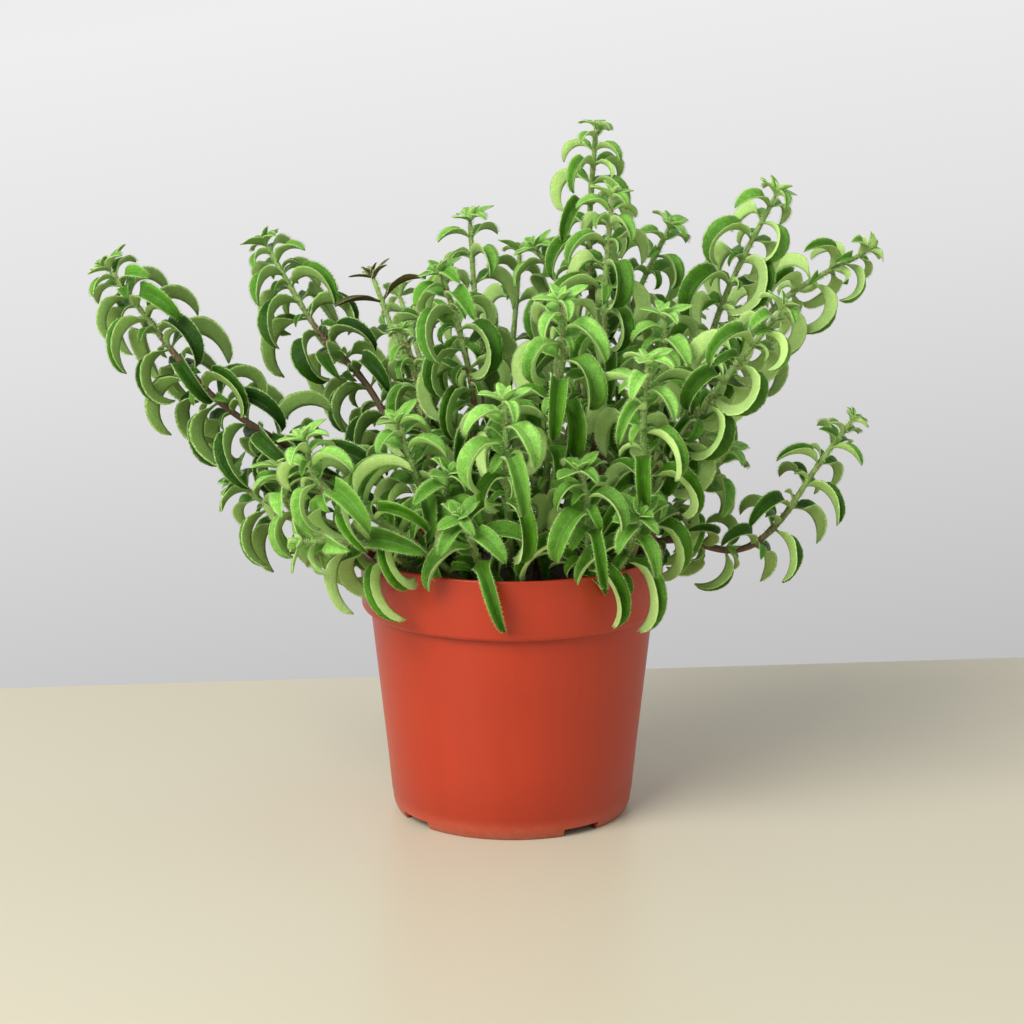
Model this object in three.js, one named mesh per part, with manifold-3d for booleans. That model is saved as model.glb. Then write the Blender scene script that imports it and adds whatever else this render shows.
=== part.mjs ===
// Curly lipstick plant in a moulded nursery pot, in millimetres, +Z up.
// Each leafy stem grows by one rule: it follows a smooth line through a few points, and its
// leaves stand in opposite pairs, each pair turned a quarter round from the last, recurved
// toward the foot of the stem.
import * as THREE from "three";
import { mergeVertices } from "three/addons/utils/BufferGeometryUtils.js";
import Module from "manifold-3d";

const wasm = await Module();
wasm.setup();

// Pot
const POT_HEIGHT = 135;
const FOOT_RADIUS = 58.5;
const FOOT_CHAMFER = 1.5;
const FOOT_CHAMFER_HEIGHT = 4;
const WALL_TOP_RADIUS = 70.8;
const WALL = 1.2;
const BAND_BOTTOM = 104;
const BAND_ROUND = 6;
const BAND_RADIUS = 75.2;
const BAND_STEP = 3;
const BAND_STEP_HEIGHT = 1.5;
const BAND_WALL_RISE = 2;
const BAND_WALL_TOP = 7;
const RIM_RADIUS = 76;
const RIM_WALL = 2;
const LIP = 0.5;
const PLATE_UNDERSIDE = 4;
const PLATE = 1.2;
const POT_SIDES = 30;
const NOTCH_COUNT = 4;
const NOTCH_START_DEG = -54.5;
const NOTCH_ARC_DEG = 20;
const FOOT_RING = 2;
const SLOT_INNER_RADIUS = 46;
const SLOT_ARC_DEG = 14;
const DRAIN_RADIUS = 6;
const CUT_PAST = 1;

// Soil
const GAP = 0.3;
const SOIL_EDGE = 121;
const SOIL_MOUND = 3;
const SOIL_ROUGHNESS = 0.5;
const SOIL_RINGS = 2;

// Stems
const FOOT_DEPTH = 18;
const STEM_FOOT_RADIUS = 2.1;
const STEM_TIP_RADIUS = 1.15;
const STEM_SIDES = 4;
const STEM_CORNER = 1.18;
const RINGS_BEYOND_POINTS = 2;
const STEM_STEPS = 42;
const HOLE_SIDES = 4;
const HOLE_CLEARANCE = 0.35;
const HOLE_TOP = 5;

// Leaves
const LEAF_STEPS = 24;
const FIRST_PAIR = 1.2;
const SMALL_LEAF = 21;
const MIDDLE_LEAF = 34;
const TIGHT_CURL_DEG = 235;
const SMALL_LEAF_RINGS = [10];
const MIDDLE_LEAF_RINGS = [5, 15];
const LARGE_LEAF_RINGS = [4, 10, 17];
const TIGHT_LEAF_RINGS = [4, 9, 14, 19];
const ROOT_BEHIND_AXIS = 1;
const PETIOLE = 0.1;
const PETIOLE_HALF_WIDTH = 1.15;
const WIDTH_OF_LENGTH = 0.18;
const BLADE_FULLNESS = 0.62;
const BLADE_FOOT = 1.08;
const BLADE_TAPER = 0.16;
const THIN_SHARE = 0.7;
const THICK_LENGTH = 100;
const STALK_THICKNESS = 1.4;
const THICKNESS_TAPER = 0.75;
const FOLD_DEG = 58;
const FOLD_SPREAD_DEG = 13;
const TIP_FOLD_SHARE = 0.45;
const FOLD_START = 0.08;
const FOLD_FULL = 0.36;
const KEEL = 0.55;
const STALK_TOP = 0.45;
const YOUNG_LENGTH = 31;
const TIP_LEAF_SHARE = 0.3;
const TIP_LEAF_GROWTH = 0.8;
const TIP_GAP_SHARE = 0.5;
const TIP_CURL_SHARE = 0.5;
const TIP_LIFT_DEG = 46;
const FULL_LIFT_DEG = 60;
const SAG_DEG = 50;
const STALK_BEND = 0.5;
const BLADE_BEND = 1.07;
const TURN_SPREAD_DEG = 16;
const LIFT_SPREAD_DEG = 9;
const LENGTH_SPREAD = 0.13;
const CURL_SPREAD = 0.22;
const TWIST_SPREAD_DEG = 34;
const SWAY_SPREAD_DEG = 16;
const CLEARANCE = 0.16;

// How a leaf steps aside where it would touch its neighbours: degrees of turn round the stem,
// share of its length, share of its curl, degrees of sideways sway, degrees of lift
const BENDS = [
  { turn: 0, length: 1, curl: 1, sway: 0, lift: 0 },
  { turn: 16, length: 1, curl: 1, sway: 8, lift: 0 },
  { turn: -16, length: 1, curl: 1, sway: -8, lift: 0 },
  { turn: 0, length: 1, curl: 0.75, sway: 0, lift: 6 },
  { turn: 0, length: 0.9, curl: 1.25, sway: 0, lift: -8 },
  { turn: 30, length: 0.95, curl: 0.9, sway: 18, lift: 0 },
  { turn: -30, length: 0.95, curl: 0.9, sway: -18, lift: 0 },
  { turn: 8, length: 0.85, curl: 0.6, sway: 30, lift: -6 },
  { turn: -8, length: 0.85, curl: 0.6, sway: -30, lift: -6 },
  { turn: 40, length: 0.75, curl: 1.2, sway: 30, lift: -12 },
  { turn: -40, length: 0.75, curl: 1.2, sway: -30, lift: -12 },
  { turn: 0, length: 0.7, curl: 0.4, sway: 0, lift: -16 },
  { turn: 20, length: 0.6, curl: 1, sway: 0, lift: -20 },
  { turn: -20, length: 0.6, curl: 1, sway: 0, lift: -20 },
];

// The stems, from the longest ones in view to the short ones and those at the back.
// leaf and gap in millimetres, curl and turn in degrees, bare is the length without leaves
const STEMS = [
  {
    leaf: 41, gap: 8.7, curl: 150, turn: 38, bare: 62,
    path: [[-34, -4, 126], [-99, -18, 181], [-146, -28, 217], [-193, -30, 278]],
  },
  {
    leaf: 40, gap: 9.5, curl: 155, turn: 50, bare: 60,
    path: [[-30, 18, 126], [-69, 30, 204], [-98, 42, 236], [-125, 50, 280]],
  },
  {
    leaf: 38, gap: 24, curl: 75, turn: 30, bare: 92,
    path: [[-34, 28, 126], [-49, 28, 205], [-62, 34, 243], [-70, 36, 265]],
  },
  {
    leaf: 30, gap: 15, curl: 185, turn: 55, bare: 60,
    path: [[-28, 2, 126], [-43, 5, 189], [-48, 5, 222], [-54, 5, 242]],
  },
  {
    leaf: 45, gap: 10.6, curl: 180, turn: 42, bare: 46,
    path: [[-17, -10, 126], [-18, -15, 203], [-25, -22, 245], [-34, -25, 275]],
  },
  {
    leaf: 38, gap: 16, curl: 150, turn: 35, bare: 100,
    path: [[-8, 18, 126], [-14, 30, 204], [-19, 35, 259], [-21, 35, 294]],
  },
  {
    leaf: 32, gap: 10.6, curl: 150, turn: 48, bare: 110,
    path: [[22, 12, 126], [40, 15, 217], [38, 15, 287], [41, 10, 343]],
  },
  {
    leaf: 36, gap: 12, curl: 165, turn: 30, bare: 96,
    path: [[30, -3, 126], [44, -12, 212], [45, -18, 267], [48, -20, 312]],
  },
  {
    leaf: 37, gap: 13.5, curl: 170, turn: 55, bare: 92,
    path: [[38, 14, 126], [49, 25, 205], [60, 25, 251], [78, 20, 292]],
  },
  {
    leaf: 42, gap: 15, curl: 160, turn: 40, bare: 92,
    path: [[12, 26, 126], [33, 30, 209], [27, 28, 253], [12, 22, 281]],
  },
  {
    leaf: 46, gap: 10.8, curl: 200, turn: 40, bare: 34,
    path: [[12, -26, 126], [19, -45, 203], [24, -52, 238], [23, -58, 266]],
  },
  {
    leaf: 41, gap: 13, curl: 215, turn: 36, bare: 80,
    path: [[48, 12, 126], [84, 15, 192], [105, 10, 258], [129, 5, 310]],
  },
  {
    leaf: 37, gap: 12.5, curl: 190, turn: 52, bare: 105,
    path: [[54, 28, 126], [97, 60, 188], [137, 80, 243], [187, 95, 271]],
  },
  {
    leaf: 42, gap: 11.8, curl: 225, turn: 45, bare: 50,
    path: [[30, -34, 126], [66, -45, 180], [96, -50, 221], [127, -55, 262]],
  },
  {
    leaf: 43, gap: 12, curl: 170, turn: 30, bare: 55,
    path: [[42, -6, 126], [68, -15, 183], [73, -22, 224], [73, -28, 255]],
  },
  {
    leaf: 41, gap: 12, curl: 170, turn: 60, bare: 28,
    path: [[54, -34, 126], [65, -55, 169], [62, -65, 206], [64, -70, 239]],
  },
  {
    leaf: 29, gap: 13.5, curl: 115, turn: 40, bare: 46,
    path: [
      [45, -17, 127], [76, -19, 142], [110, -20, 137],
      [130, -23, 151], [149, -26, 181], [165, -28, 204],
    ],
  },
  {
    leaf: 47, gap: 10.6, curl: 215, turn: 35, bare: 24,
    path: [[0, -42, 126], [-2, -68, 174], [-3, -78, 200], [-3, -82, 223]],
  },
  {
    leaf: 40, gap: 11.5, curl: 165, turn: 50, bare: 25,
    path: [[-22, -46, 126], [-56, -66, 158], [-89, -74, 180], [-97, -76, 204]],
  },
  {
    leaf: 39, gap: 12, curl: 155, turn: 35, bare: 35,
    path: [[-42, -26, 126], [-72, -37, 149], [-96, -43, 159], [-108, -44, 169], [-111, -44, 184]],
  },
  {
    leaf: 42, gap: 12, curl: 160, turn: 45, bare: 25,
    path: [[-28, -26, 126], [-42, -42, 168], [-50, -48, 192], [-54, -50, 207]],
  },
  {
    leaf: 43, gap: 11, curl: 145, turn: 30, bare: 14,
    path: [[-12, -50, 126], [-16, -60, 141], [-20, -70, 156], [-24, -79, 167]],
  },
  {
    leaf: 43, gap: 12, curl: 125, turn: 45, bare: 20,
    path: [[-40, -38, 126], [-62, -56, 146], [-84, -64, 152], [-100, -68, 152]],
  },
  {
    leaf: 42, gap: 12.5, curl: 140, turn: 40, bare: 22,
    path: [[56, -2, 126], [82, -14, 159], [97, -18, 174], [104, -20, 187]],
  },
  {
    leaf: 43, gap: 11, curl: 140, turn: 55, bare: 16,
    path: [[46, -44, 126], [54, -56, 142], [58, -68, 156], [60, -77, 167]],
  },
  {
    leaf: 43, gap: 12, curl: 150, turn: 35, bare: 18,
    path: [[-24, -30, 126], [-30, -44, 150], [-32, -54, 168], [-30, -62, 184]],
  },
  {
    leaf: 44, gap: 11.5, curl: 165, turn: 50, bare: 16,
    path: [[30, -52, 126], [36, -66, 148], [36, -76, 170], [32, -82, 190]],
  },
  {
    leaf: 40, gap: 19, curl: 165, turn: 45, bare: 45,
    path: [[-26, 40, 126], [-38, 70, 180], [-50, 96, 218], [-60, 116, 244]],
  },
  {
    leaf: 40, gap: 19, curl: 160, turn: 55, bare: 38,
    path: [[8, 48, 126], [14, 80, 170], [18, 112, 205], [20, 136, 232]],
  },
  {
    leaf: 40, gap: 19, curl: 170, turn: 30, bare: 45,
    path: [[34, 42, 126], [55, 70, 180], [75, 94, 215], [92, 108, 238]],
  },
  {
    leaf: 43, gap: 11, curl: 130, turn: 45, bare: 42,
    path: [[-46, -14, 126], [-82, -24, 146], [-110, -28, 156], [-134, -32, 174]],
  },
  {
    leaf: 40, gap: 19, curl: 120, turn: 50, bare: 38,
    path: [[24, 50, 126], [46, 82, 152], [80, 104, 166], [112, 114, 184]],
  },
  {
    leaf: 40, gap: 21, curl: 160, turn: 45, bare: 60,
    path: [[-4, 34, 126], [-2, 58, 196], [2, 72, 244], [4, 78, 272]],
  },
];

const rad = THREE.MathUtils.degToRad;
const vec = (x, y, z) => new THREE.Vector3(x, y, z);

// A fixed random draw from 0 to 1 for a stem, a leaf on it and the thing drawn
function draw(stem, leaf, kind) {
  let h = Math.imul(stem + 1, 374761393);
  h ^= Math.imul(leaf + 1, 668265263);
  h ^= Math.imul(kind + 1, 1274126177);
  h = Math.imul(h ^ (h >>> 15), 2246822507);
  h = Math.imul(h ^ (h >>> 13), 3266489909);
  return ((h ^ (h >>> 16)) >>> 0) / 4294967296;
}

const spread = (stem, leaf, kind, size) => size * (2 * draw(stem, leaf, kind) - 1);

// A closed body through rings of points. A ring may be one point at either end.
function loft(rings) {
  const points = [];
  const starts = [];
  for (const ring of rings) {
    starts.push(points.length);
    points.push(...ring);
  }
  const faces = [];
  for (let i = 0; i + 1 < rings.length; i++) {
    const low = starts[i];
    const high = starts[i + 1];
    const sides = Math.max(rings[i].length, rings[i + 1].length);
    for (let j = 0; j < sides; j++) {
      const k = (j + 1) % sides;
      if (rings[i + 1].length === 1) {
        faces.push(low + j, low + k, high);
      } else if (rings[i].length === 1) {
        faces.push(low, high + k, high + j);
      } else if (k > j) {
        faces.push(low + j, low + k, high + k, low + j, high + k, high + j);
      } else {
        faces.push(low + j, low + k, high + j, low + k, high + k, high + j);
      }
    }
  }
  const last = rings.length - 1;
  for (let j = 1; j + 1 < rings[0].length; j++) {
    faces.push(0, j + 1, j);
  }
  for (let j = 1; j + 1 < rings[last].length; j++) {
    faces.push(starts[last], starts[last] + j, starts[last] + j + 1);
  }
  const geometry = new THREE.BufferGeometry().setFromPoints(points);
  geometry.setIndex(faces);
  return geometry;
}

function toSolid(geometry) {
  geometry.deleteAttribute("normal");
  geometry.deleteAttribute("uv");
  const merged = mergeVertices(geometry);
  return new wasm.Manifold(new wasm.Mesh({
    numProp: 3,
    vertProperties: new Float32Array(merged.attributes.position.array),
    triVerts: new Uint32Array(merged.index.array),
  }));
}

function toMesh(name, solid, colour, roughness) {
  const { vertProperties, triVerts } = solid.getMesh();
  const geometry = new THREE.BufferGeometry();
  geometry.setAttribute("position", new THREE.BufferAttribute(new Float32Array(vertProperties), 3));
  geometry.setIndex(new THREE.BufferAttribute(new Uint32Array(triVerts), 1));
  geometry.computeVertexNormals();
  const material = new THREE.MeshStandardMaterial({ color: colour, roughness, metalness: 0 });
  const mesh = new THREE.Mesh(geometry, material);
  mesh.name = name;
  return mesh;
}

// A body turned round the Z axis from a profile of radius and height
function turned(profile, sides) {
  const points = profile.map(([radius, height]) => new THREE.Vector2(radius, height));
  return toSolid(new THREE.LatheGeometry(points, sides).rotateX(Math.PI / 2));
}

// An upright block between two radii over an arc
function sector(inner, outer, middleDeg, arcDeg, bottom, top) {
  const from = rad(middleDeg - arcDeg / 2);
  const to = rad(middleDeg + arcDeg / 2);
  const shape = new THREE.Shape();
  shape.absarc(0, 0, outer, from, to, false);
  shape.absarc(0, 0, inner, to, from, true);
  const block = new THREE.ExtrudeGeometry(shape, {
    depth: top - bottom, bevelEnabled: false, curveSegments: 2,
  });
  return toSolid(block.translate(0, 0, bottom));
}

function upright(radius, sides, x, y, bottom, top) {
  const block = new THREE.CylinderGeometry(radius, radius, top - bottom, sides);
  return toSolid(block.rotateX(Math.PI / 2).translate(x, y, (top + bottom) / 2));
}

function makePot() {
  const plateTop = PLATE_UNDERSIDE + PLATE;
  const footInner = FOOT_RADIUS - FOOT_CHAMFER;
  const innerRim = RIM_RADIUS - RIM_WALL;
  const profile = [
    [DRAIN_RADIUS, PLATE_UNDERSIDE],
    [footInner, PLATE_UNDERSIDE],
    [footInner, 0],
    [FOOT_RADIUS, 0],
    [FOOT_RADIUS + FOOT_CHAMFER, FOOT_CHAMFER_HEIGHT],
    [WALL_TOP_RADIUS, BAND_BOTTOM],
    [WALL_TOP_RADIUS + BAND_STEP, BAND_BOTTOM + BAND_STEP_HEIGHT],
    [BAND_RADIUS, BAND_BOTTOM + BAND_ROUND],
    [RIM_RADIUS, POT_HEIGHT - LIP],
    [RIM_RADIUS - LIP, POT_HEIGHT],
    [innerRim + LIP, POT_HEIGHT],
    [innerRim, POT_HEIGHT - LIP],
    [innerRim, BAND_BOTTOM + BAND_WALL_TOP],
    [WALL_TOP_RADIUS - WALL, BAND_BOTTOM + BAND_WALL_RISE],
    [FOOT_RADIUS + FOOT_CHAMFER - WALL, plateTop],
    [DRAIN_RADIUS, plateTop],
    [DRAIN_RADIUS, PLATE_UNDERSIDE],
  ];
  let pot = turned(profile, POT_SIDES);
  for (let i = 0; i < NOTCH_COUNT; i++) {
    const middle = NOTCH_START_DEG - 90 + i * 360 / NOTCH_COUNT;
    const ringInner = footInner - FOOT_RING;
    const notch = sector(ringInner, RIM_RADIUS, middle, NOTCH_ARC_DEG, -CUT_PAST, PLATE_UNDERSIDE);
    const slot = sector(SLOT_INNER_RADIUS, ringInner, middle, SLOT_ARC_DEG, 0, plateTop + CUT_PAST);
    pot = pot.subtract(notch).subtract(slot);
  }
  return pot;
}

function makeSoil(stems) {
  const bottom = PLATE_UNDERSIDE + PLATE + GAP;
  const lowRadius = FOOT_RADIUS + FOOT_CHAMFER - WALL - GAP;
  const wallRadius = WALL_TOP_RADIUS - WALL - GAP;
  const bandRadius = RIM_RADIUS - RIM_WALL - GAP;
  const rings = [
    [lowRadius, bottom],
    [wallRadius, BAND_BOTTOM + BAND_WALL_RISE],
    [bandRadius, BAND_BOTTOM + BAND_WALL_TOP + GAP],
    [bandRadius, SOIL_EDGE],
  ];
  for (let i = SOIL_RINGS - 1; i > 0; i--) {
    const share = i / SOIL_RINGS;
    rings.push([bandRadius * share, SOIL_EDGE + SOIL_MOUND * (1 - share * share)]);
  }
  const circles = rings.map(([radius, height], ring) => {
    const circle = [];
    for (let j = 0; j < POT_SIDES; j++) {
      const angle = 2 * Math.PI * j / POT_SIDES - Math.PI / 2;
      const lift = height >= SOIL_EDGE ? spread(ring, j, 0, SOIL_ROUGHNESS) : 0;
      circle.push(vec(radius * Math.cos(angle), radius * Math.sin(angle), height + lift));
    }
    return circle;
  });
  circles.push([vec(0, 0, SOIL_EDGE + SOIL_MOUND)]);
  let soil = toSolid(loft(circles));
  const holeRadius = (STEM_CORNER * STEM_FOOT_RADIUS + HOLE_CLEARANCE) / Math.cos(Math.PI / HOLE_SIDES);
  for (const { path } of stems) {
    const [x, y, z] = path[0];
    soil = soil.subtract(upright(holeRadius, HOLE_SIDES, x, y, z - FOOT_DEPTH - GAP, z + HOLE_TOP));
  }
  return soil;
}

// A point on the smooth line through a stem's points, at a share of the way along them
function pathPoint(path, share) {
  const at = Math.min(share, 1 - 1e-9) * (path.length - 1);
  const span = Math.floor(at);
  const t = at - span;
  const get = (i) => {
    if (i < 0) {
      return vec(...path[0]).multiplyScalar(2).sub(vec(...path[1]));
    }
    if (i >= path.length) {
      return vec(...path[path.length - 1]).multiplyScalar(2).sub(vec(...path[path.length - 2]));
    }
    return vec(...path[i]);
  };
  const [a, b, c, d] = [get(span - 1), get(span), get(span + 1), get(span + 2)];
  const weights = [
    -t + 2 * t * t - t * t * t,
    2 - 5 * t * t + 3 * t * t * t,
    t + 4 * t * t - 3 * t * t * t,
    -t * t + t * t * t,
  ];
  const point = vec(0, 0, 0);
  [a, b, c, d].forEach((p, i) => point.addScaledVector(p, weights[i] / 2));
  return point;
}

// The stem's line: points, tangents and a normal that turns no more than the line does
function stemLine({ path }) {
  const points = [];
  for (let i = 0; i <= STEM_STEPS; i++) {
    points.push(pathPoint(path, i / STEM_STEPS));
  }
  const lengths = [0];
  for (let i = 1; i <= STEM_STEPS; i++) {
    lengths.push(lengths[i - 1] + points[i].distanceTo(points[i - 1]));
  }
  const tangents = points.map((_, i) => {
    const before = points[Math.max(i - 1, 0)];
    const after = points[Math.min(i + 1, STEM_STEPS)];
    return after.clone().sub(before).normalize();
  });
  const normals = [];
  let normal = vec(0, -1, 0);
  for (const tangent of tangents) {
    normal = normal.clone().addScaledVector(tangent, -normal.dot(tangent)).normalize();
    normals.push(normal);
  }
  return { points, lengths, tangents, normals, total: lengths[STEM_STEPS] };
}

// Place, direction and normal at a length along the line
function alongStem(line, length) {
  let i = 1;
  while (i < STEM_STEPS && line.lengths[i] < length) {
    i++;
  }
  const share = (length - line.lengths[i - 1]) / (line.lengths[i] - line.lengths[i - 1]);
  const mix = (list) => list[i - 1].clone().lerp(list[i], share);
  const tangent = mix(line.tangents).normalize();
  const normal = mix(line.normals);
  normal.addScaledVector(tangent, -normal.dot(tangent)).normalize();
  return { point: mix(line.points), tangent, normal };
}

function stemRadius(share) {
  return STEM_FOOT_RADIUS + (STEM_TIP_RADIUS - STEM_FOOT_RADIUS) * share;
}

// A section of the stem, with a flat side toward each of the leaves that stand on it
function stemRing(point, tangent, normal, radius, turn) {
  const across = tangent.clone().cross(normal);
  const ring = [];
  for (let j = 0; j < STEM_SIDES; j++) {
    const angle = rad(turn) + 2 * Math.PI * (j + 0.5) / STEM_SIDES;
    ring.push(point.clone()
      .addScaledVector(normal, STEM_CORNER * radius * Math.cos(angle))
      .addScaledVector(across, STEM_CORNER * radius * Math.sin(angle)));
  }
  return ring;
}

// The stem's tube, from its foot deep in the soil to just short of the growing point
function stemTube({ turn, path }, line) {
  const up = vec(0, 0, 1);
  const foot = line.points[0].clone().addScaledVector(up, -FOOT_DEPTH);
  const rings = [stemRing(foot, up, vec(0, -1, 0), stemRadius(0), turn)];
  const count = path.length + RINGS_BEYOND_POINTS;
  for (let i = 0; i < count; i++) {
    const share = i / (count - 1);
    const { point, tangent, normal } = alongStem(line, line.total * share);
    const direction = i === 0 ? tangent.clone().add(up).normalize() : tangent;
    const side = normal.addScaledVector(direction, -normal.dot(direction)).normalize();
    rings.push(stemRing(point, direction, side, stemRadius(share), turn));
  }
  return toSolid(loft(rings));
}

// Lengths along the stem at which its pairs of leaves stand, from the tip down
function pairPlaces(stem, line) {
  const places = [];
  let fromTip = FIRST_PAIR;
  while (line.total - fromTip > stem.bare) {
    places.push(line.total - fromTip);
    const grown = Math.min(1, fromTip / YOUNG_LENGTH);
    fromTip += stem.gap * (TIP_GAP_SHARE + (1 - TIP_GAP_SHARE) * grown);
  }
  return places;
}

// Half of the blade's width at a share of its length, where the widest is 1
function blade(t) {
  const x = (t - PETIOLE) / (1 - PETIOLE);
  return x <= 0 ? 0 : Math.pow(4 * x * (1 - x), BLADE_FULLNESS) * (BLADE_FOOT - BLADE_TAPER * x);
}

// The line and frames of one leaf: places, directions, sides and upper normals
function leafLine(stem, stemIndex, line, place, pair, side, bend) {
  const leaf = 2 * pair + side;
  const fromTip = line.total - place;
  const grown = Math.min(1, fromTip / YOUNG_LENGTH);
  const { point, tangent, normal } = alongStem(line, place);
  const across = tangent.clone().cross(normal);
  const turn = rad(stem.turn + 90 * pair + 180 * side
    + spread(stemIndex, leaf, 0, TURN_SPREAD_DEG) + bend.turn);
  const out = normal.clone().multiplyScalar(Math.cos(turn)).addScaledVector(across, Math.sin(turn));
  const lift = rad(TIP_LIFT_DEG + (FULL_LIFT_DEG - TIP_LIFT_DEG) * grown
    + spread(stemIndex, leaf, 1, LIFT_SPREAD_DEG) + bend.lift);
  const length = stem.leaf * (TIP_LEAF_SHARE + (1 - TIP_LEAF_SHARE) * Math.pow(grown, TIP_LEAF_GROWTH))
    * (1 + spread(stemIndex, leaf, 2, LENGTH_SPREAD)) * bend.length;
  const curl = rad(stem.curl) * (TIP_CURL_SHARE + (1 - TIP_CURL_SHARE) * grown)
    * (1 + spread(stemIndex, leaf, 3, CURL_SPREAD)) * bend.curl;
  const twist = rad(spread(stemIndex, leaf, 4, TWIST_SPREAD_DEG));
  const sway = rad(spread(stemIndex, leaf, 5, SWAY_SPREAD_DEG) + bend.sway);
  const fold = rad(FOLD_DEG + spread(stemIndex, leaf, 6, FOLD_SPREAD_DEG))
    * (TIP_FOLD_SHARE + (1 - TIP_FOLD_SHARE) * grown);

  const direction = tangent.clone().multiplyScalar(Math.cos(lift)).addScaledVector(out, Math.sin(lift));
  const upper = tangent.clone().multiplyScalar(Math.sin(lift)).addScaledVector(out, -Math.cos(lift));
  const edge = tangent.clone().cross(out);
  const frames = [];
  const down = vec(0, 0, -1);
  const step = length / LEAF_STEPS;
  for (let i = 0; i <= LEAF_STEPS; i++) {
    const t = i / LEAF_STEPS;
    frames.push({
      t, point: point.clone(), direction: direction.clone(), edge: edge.clone(), upper: upper.clone(),
    });
    const weight = t < PETIOLE ? STALK_BEND : BLADE_BEND;
    const curlStep = curl * weight / LEAF_STEPS;
    direction.applyAxisAngle(edge, curlStep);
    upper.applyAxisAngle(edge, curlStep);
    const twistStep = twist / LEAF_STEPS;
    edge.applyAxisAngle(direction, twistStep);
    upper.applyAxisAngle(direction, twistStep);
    const swayStep = (sway + rad(SAG_DEG) * grown * edge.dot(down)) / LEAF_STEPS;
    direction.applyAxisAngle(upper, swayStep);
    edge.applyAxisAngle(upper, swayStep);
    point.addScaledVector(direction, step);
  }
  return { frames, length, curl, fold };
}

function ringSteps(length, curl) {
  if (length < SMALL_LEAF) {
    return SMALL_LEAF_RINGS;
  }
  if (length < MIDDLE_LEAF) {
    return MIDDLE_LEAF_RINGS;
  }
  return curl < rad(TIGHT_CURL_DEG) ? LARGE_LEAF_RINGS : TIGHT_LEAF_RINGS;
}

// Share of the full thickness: a round stalk, and thinner toward the tip
function thickness(length, t) {
  return Math.min(1, THIN_SHARE + length / THICK_LENGTH) * (STALK_THICKNESS - THICKNESS_TAPER * t);
}

// The leaf's closed body: its halves fold upward past the stalk, and it is level between its
// margins, with a keel below. rooted lets it start inside the stem, and more makes it larger
// all round, to keep neighbours clear
function leafBody({ frames, length, curl, fold }, rooted, more) {
  const width = length * WIDTH_OF_LENGTH;
  const rings = ringSteps(length, curl).map((step) => {
    const { t, point, edge, upper } = frames[step];
    const thick = thickness(length, t);
    const half = Math.max(PETIOLE_HALF_WIDTH, width * blade(t));
    const folded = THREE.MathUtils.clamp((t - FOLD_START) / (FOLD_FULL - FOLD_START), 0, 1);
    const across = half * Math.cos(fold * folded) + more;
    const rise = half * Math.sin(fold * folded) + STALK_TOP * thick * (1 - folded) + more;
    return [
      point.clone().addScaledVector(edge, across).addScaledVector(upper, rise),
      point.clone().addScaledVector(edge, -across).addScaledVector(upper, rise),
      point.clone().addScaledVector(upper, -KEEL * thick - more),
    ];
  });
  if (rooted) {
    const { point, direction } = frames[0];
    rings.unshift([point.clone().addScaledVector(direction, -ROOT_BEHIND_AXIS)]);
  }
  rings.push([frames[LEAF_STEPS].point.clone()]);
  return toSolid(loft(rings));
}

function boxOf(solid) {
  const { min, max } = solid.boundingBox();
  return new THREE.Box3(vec(...min), vec(...max));
}

// Whether a leaf touches any body already placed. Leaves of one stem may meet at their roots.
function touches(leaf, placed) {
  return placed.some((other) => {
    if (!leaf.box.intersectsBox(other.box)) {
      return false;
    }
    const part = leaf.owner === other.owner ? "free" : "whole";
    const shared = leaf[part].intersect(other[part]);
    const clash = !shared.isEmpty();
    shared.delete();
    return clash;
  });
}

function growPlant(pot, soil) {
  const plants = STEMS.map((stem) => {
    const line = stemLine(stem);
    return { stem, line, solid: stemTube(stem, line), places: pairPlaces(stem, line) };
  });
  const placed = [pot, soil].map((body) => ({ free: body, whole: body, box: boxOf(body), owner: -1 }));
  plants.forEach(({ solid }, owner) => {
    placed.push({ free: solid, whole: solid, box: boxOf(solid), owner });
  });
  const mostPairs = Math.max(...plants.map(({ places }) => places.length));
  for (let pair = 0; pair < mostPairs; pair++) {
    plants.forEach((plant, owner) => {
      if (pair >= plant.places.length) {
        return;
      }
      for (const side of [0, 1]) {
        for (const bend of BENDS) {
          const line = leafLine(plant.stem, owner, plant.line, plant.places[pair], pair, side, bend);
          const free = leafBody(line, false, CLEARANCE);
          const whole = leafBody(line, true, CLEARANCE);
          const leaf = { free, whole, box: boxOf(whole), owner };
          if (!touches(leaf, placed)) {
            placed.push(leaf);
            plant.solid = plant.solid.add(leafBody(line, true, 0));
            break;
          }
        }
      }
    });
  }
  return plants.map(({ solid }) => solid);
}

const pot = makePot();
const soil = makeSoil(STEMS);
const group = new THREE.Group();
group.name = "potted_lipstick_plant";
group.add(toMesh("pot", pot, 0xc84e32, 0.42));
group.add(toMesh("soil", soil, 0x2e241d, 0.95));
growPlant(pot, soil).forEach((solid, index) => {
  const number = String(index + 1).padStart(2, "0");
  group.add(toMesh("leafy_stem_" + number, solid, 0x4f8a2e, 0.5));
});

// The origin lies on the ground under the middle of the whole plant's box
const middle = new THREE.Box3().setFromObject(group).getCenter(vec(0, 0, 0));
group.position.set(-middle.x, -middle.y, 0);

export default group;
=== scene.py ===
import math

import bmesh
import bpy
from mathutils import Matrix, Quaternion, Vector, kdtree, noise


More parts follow.
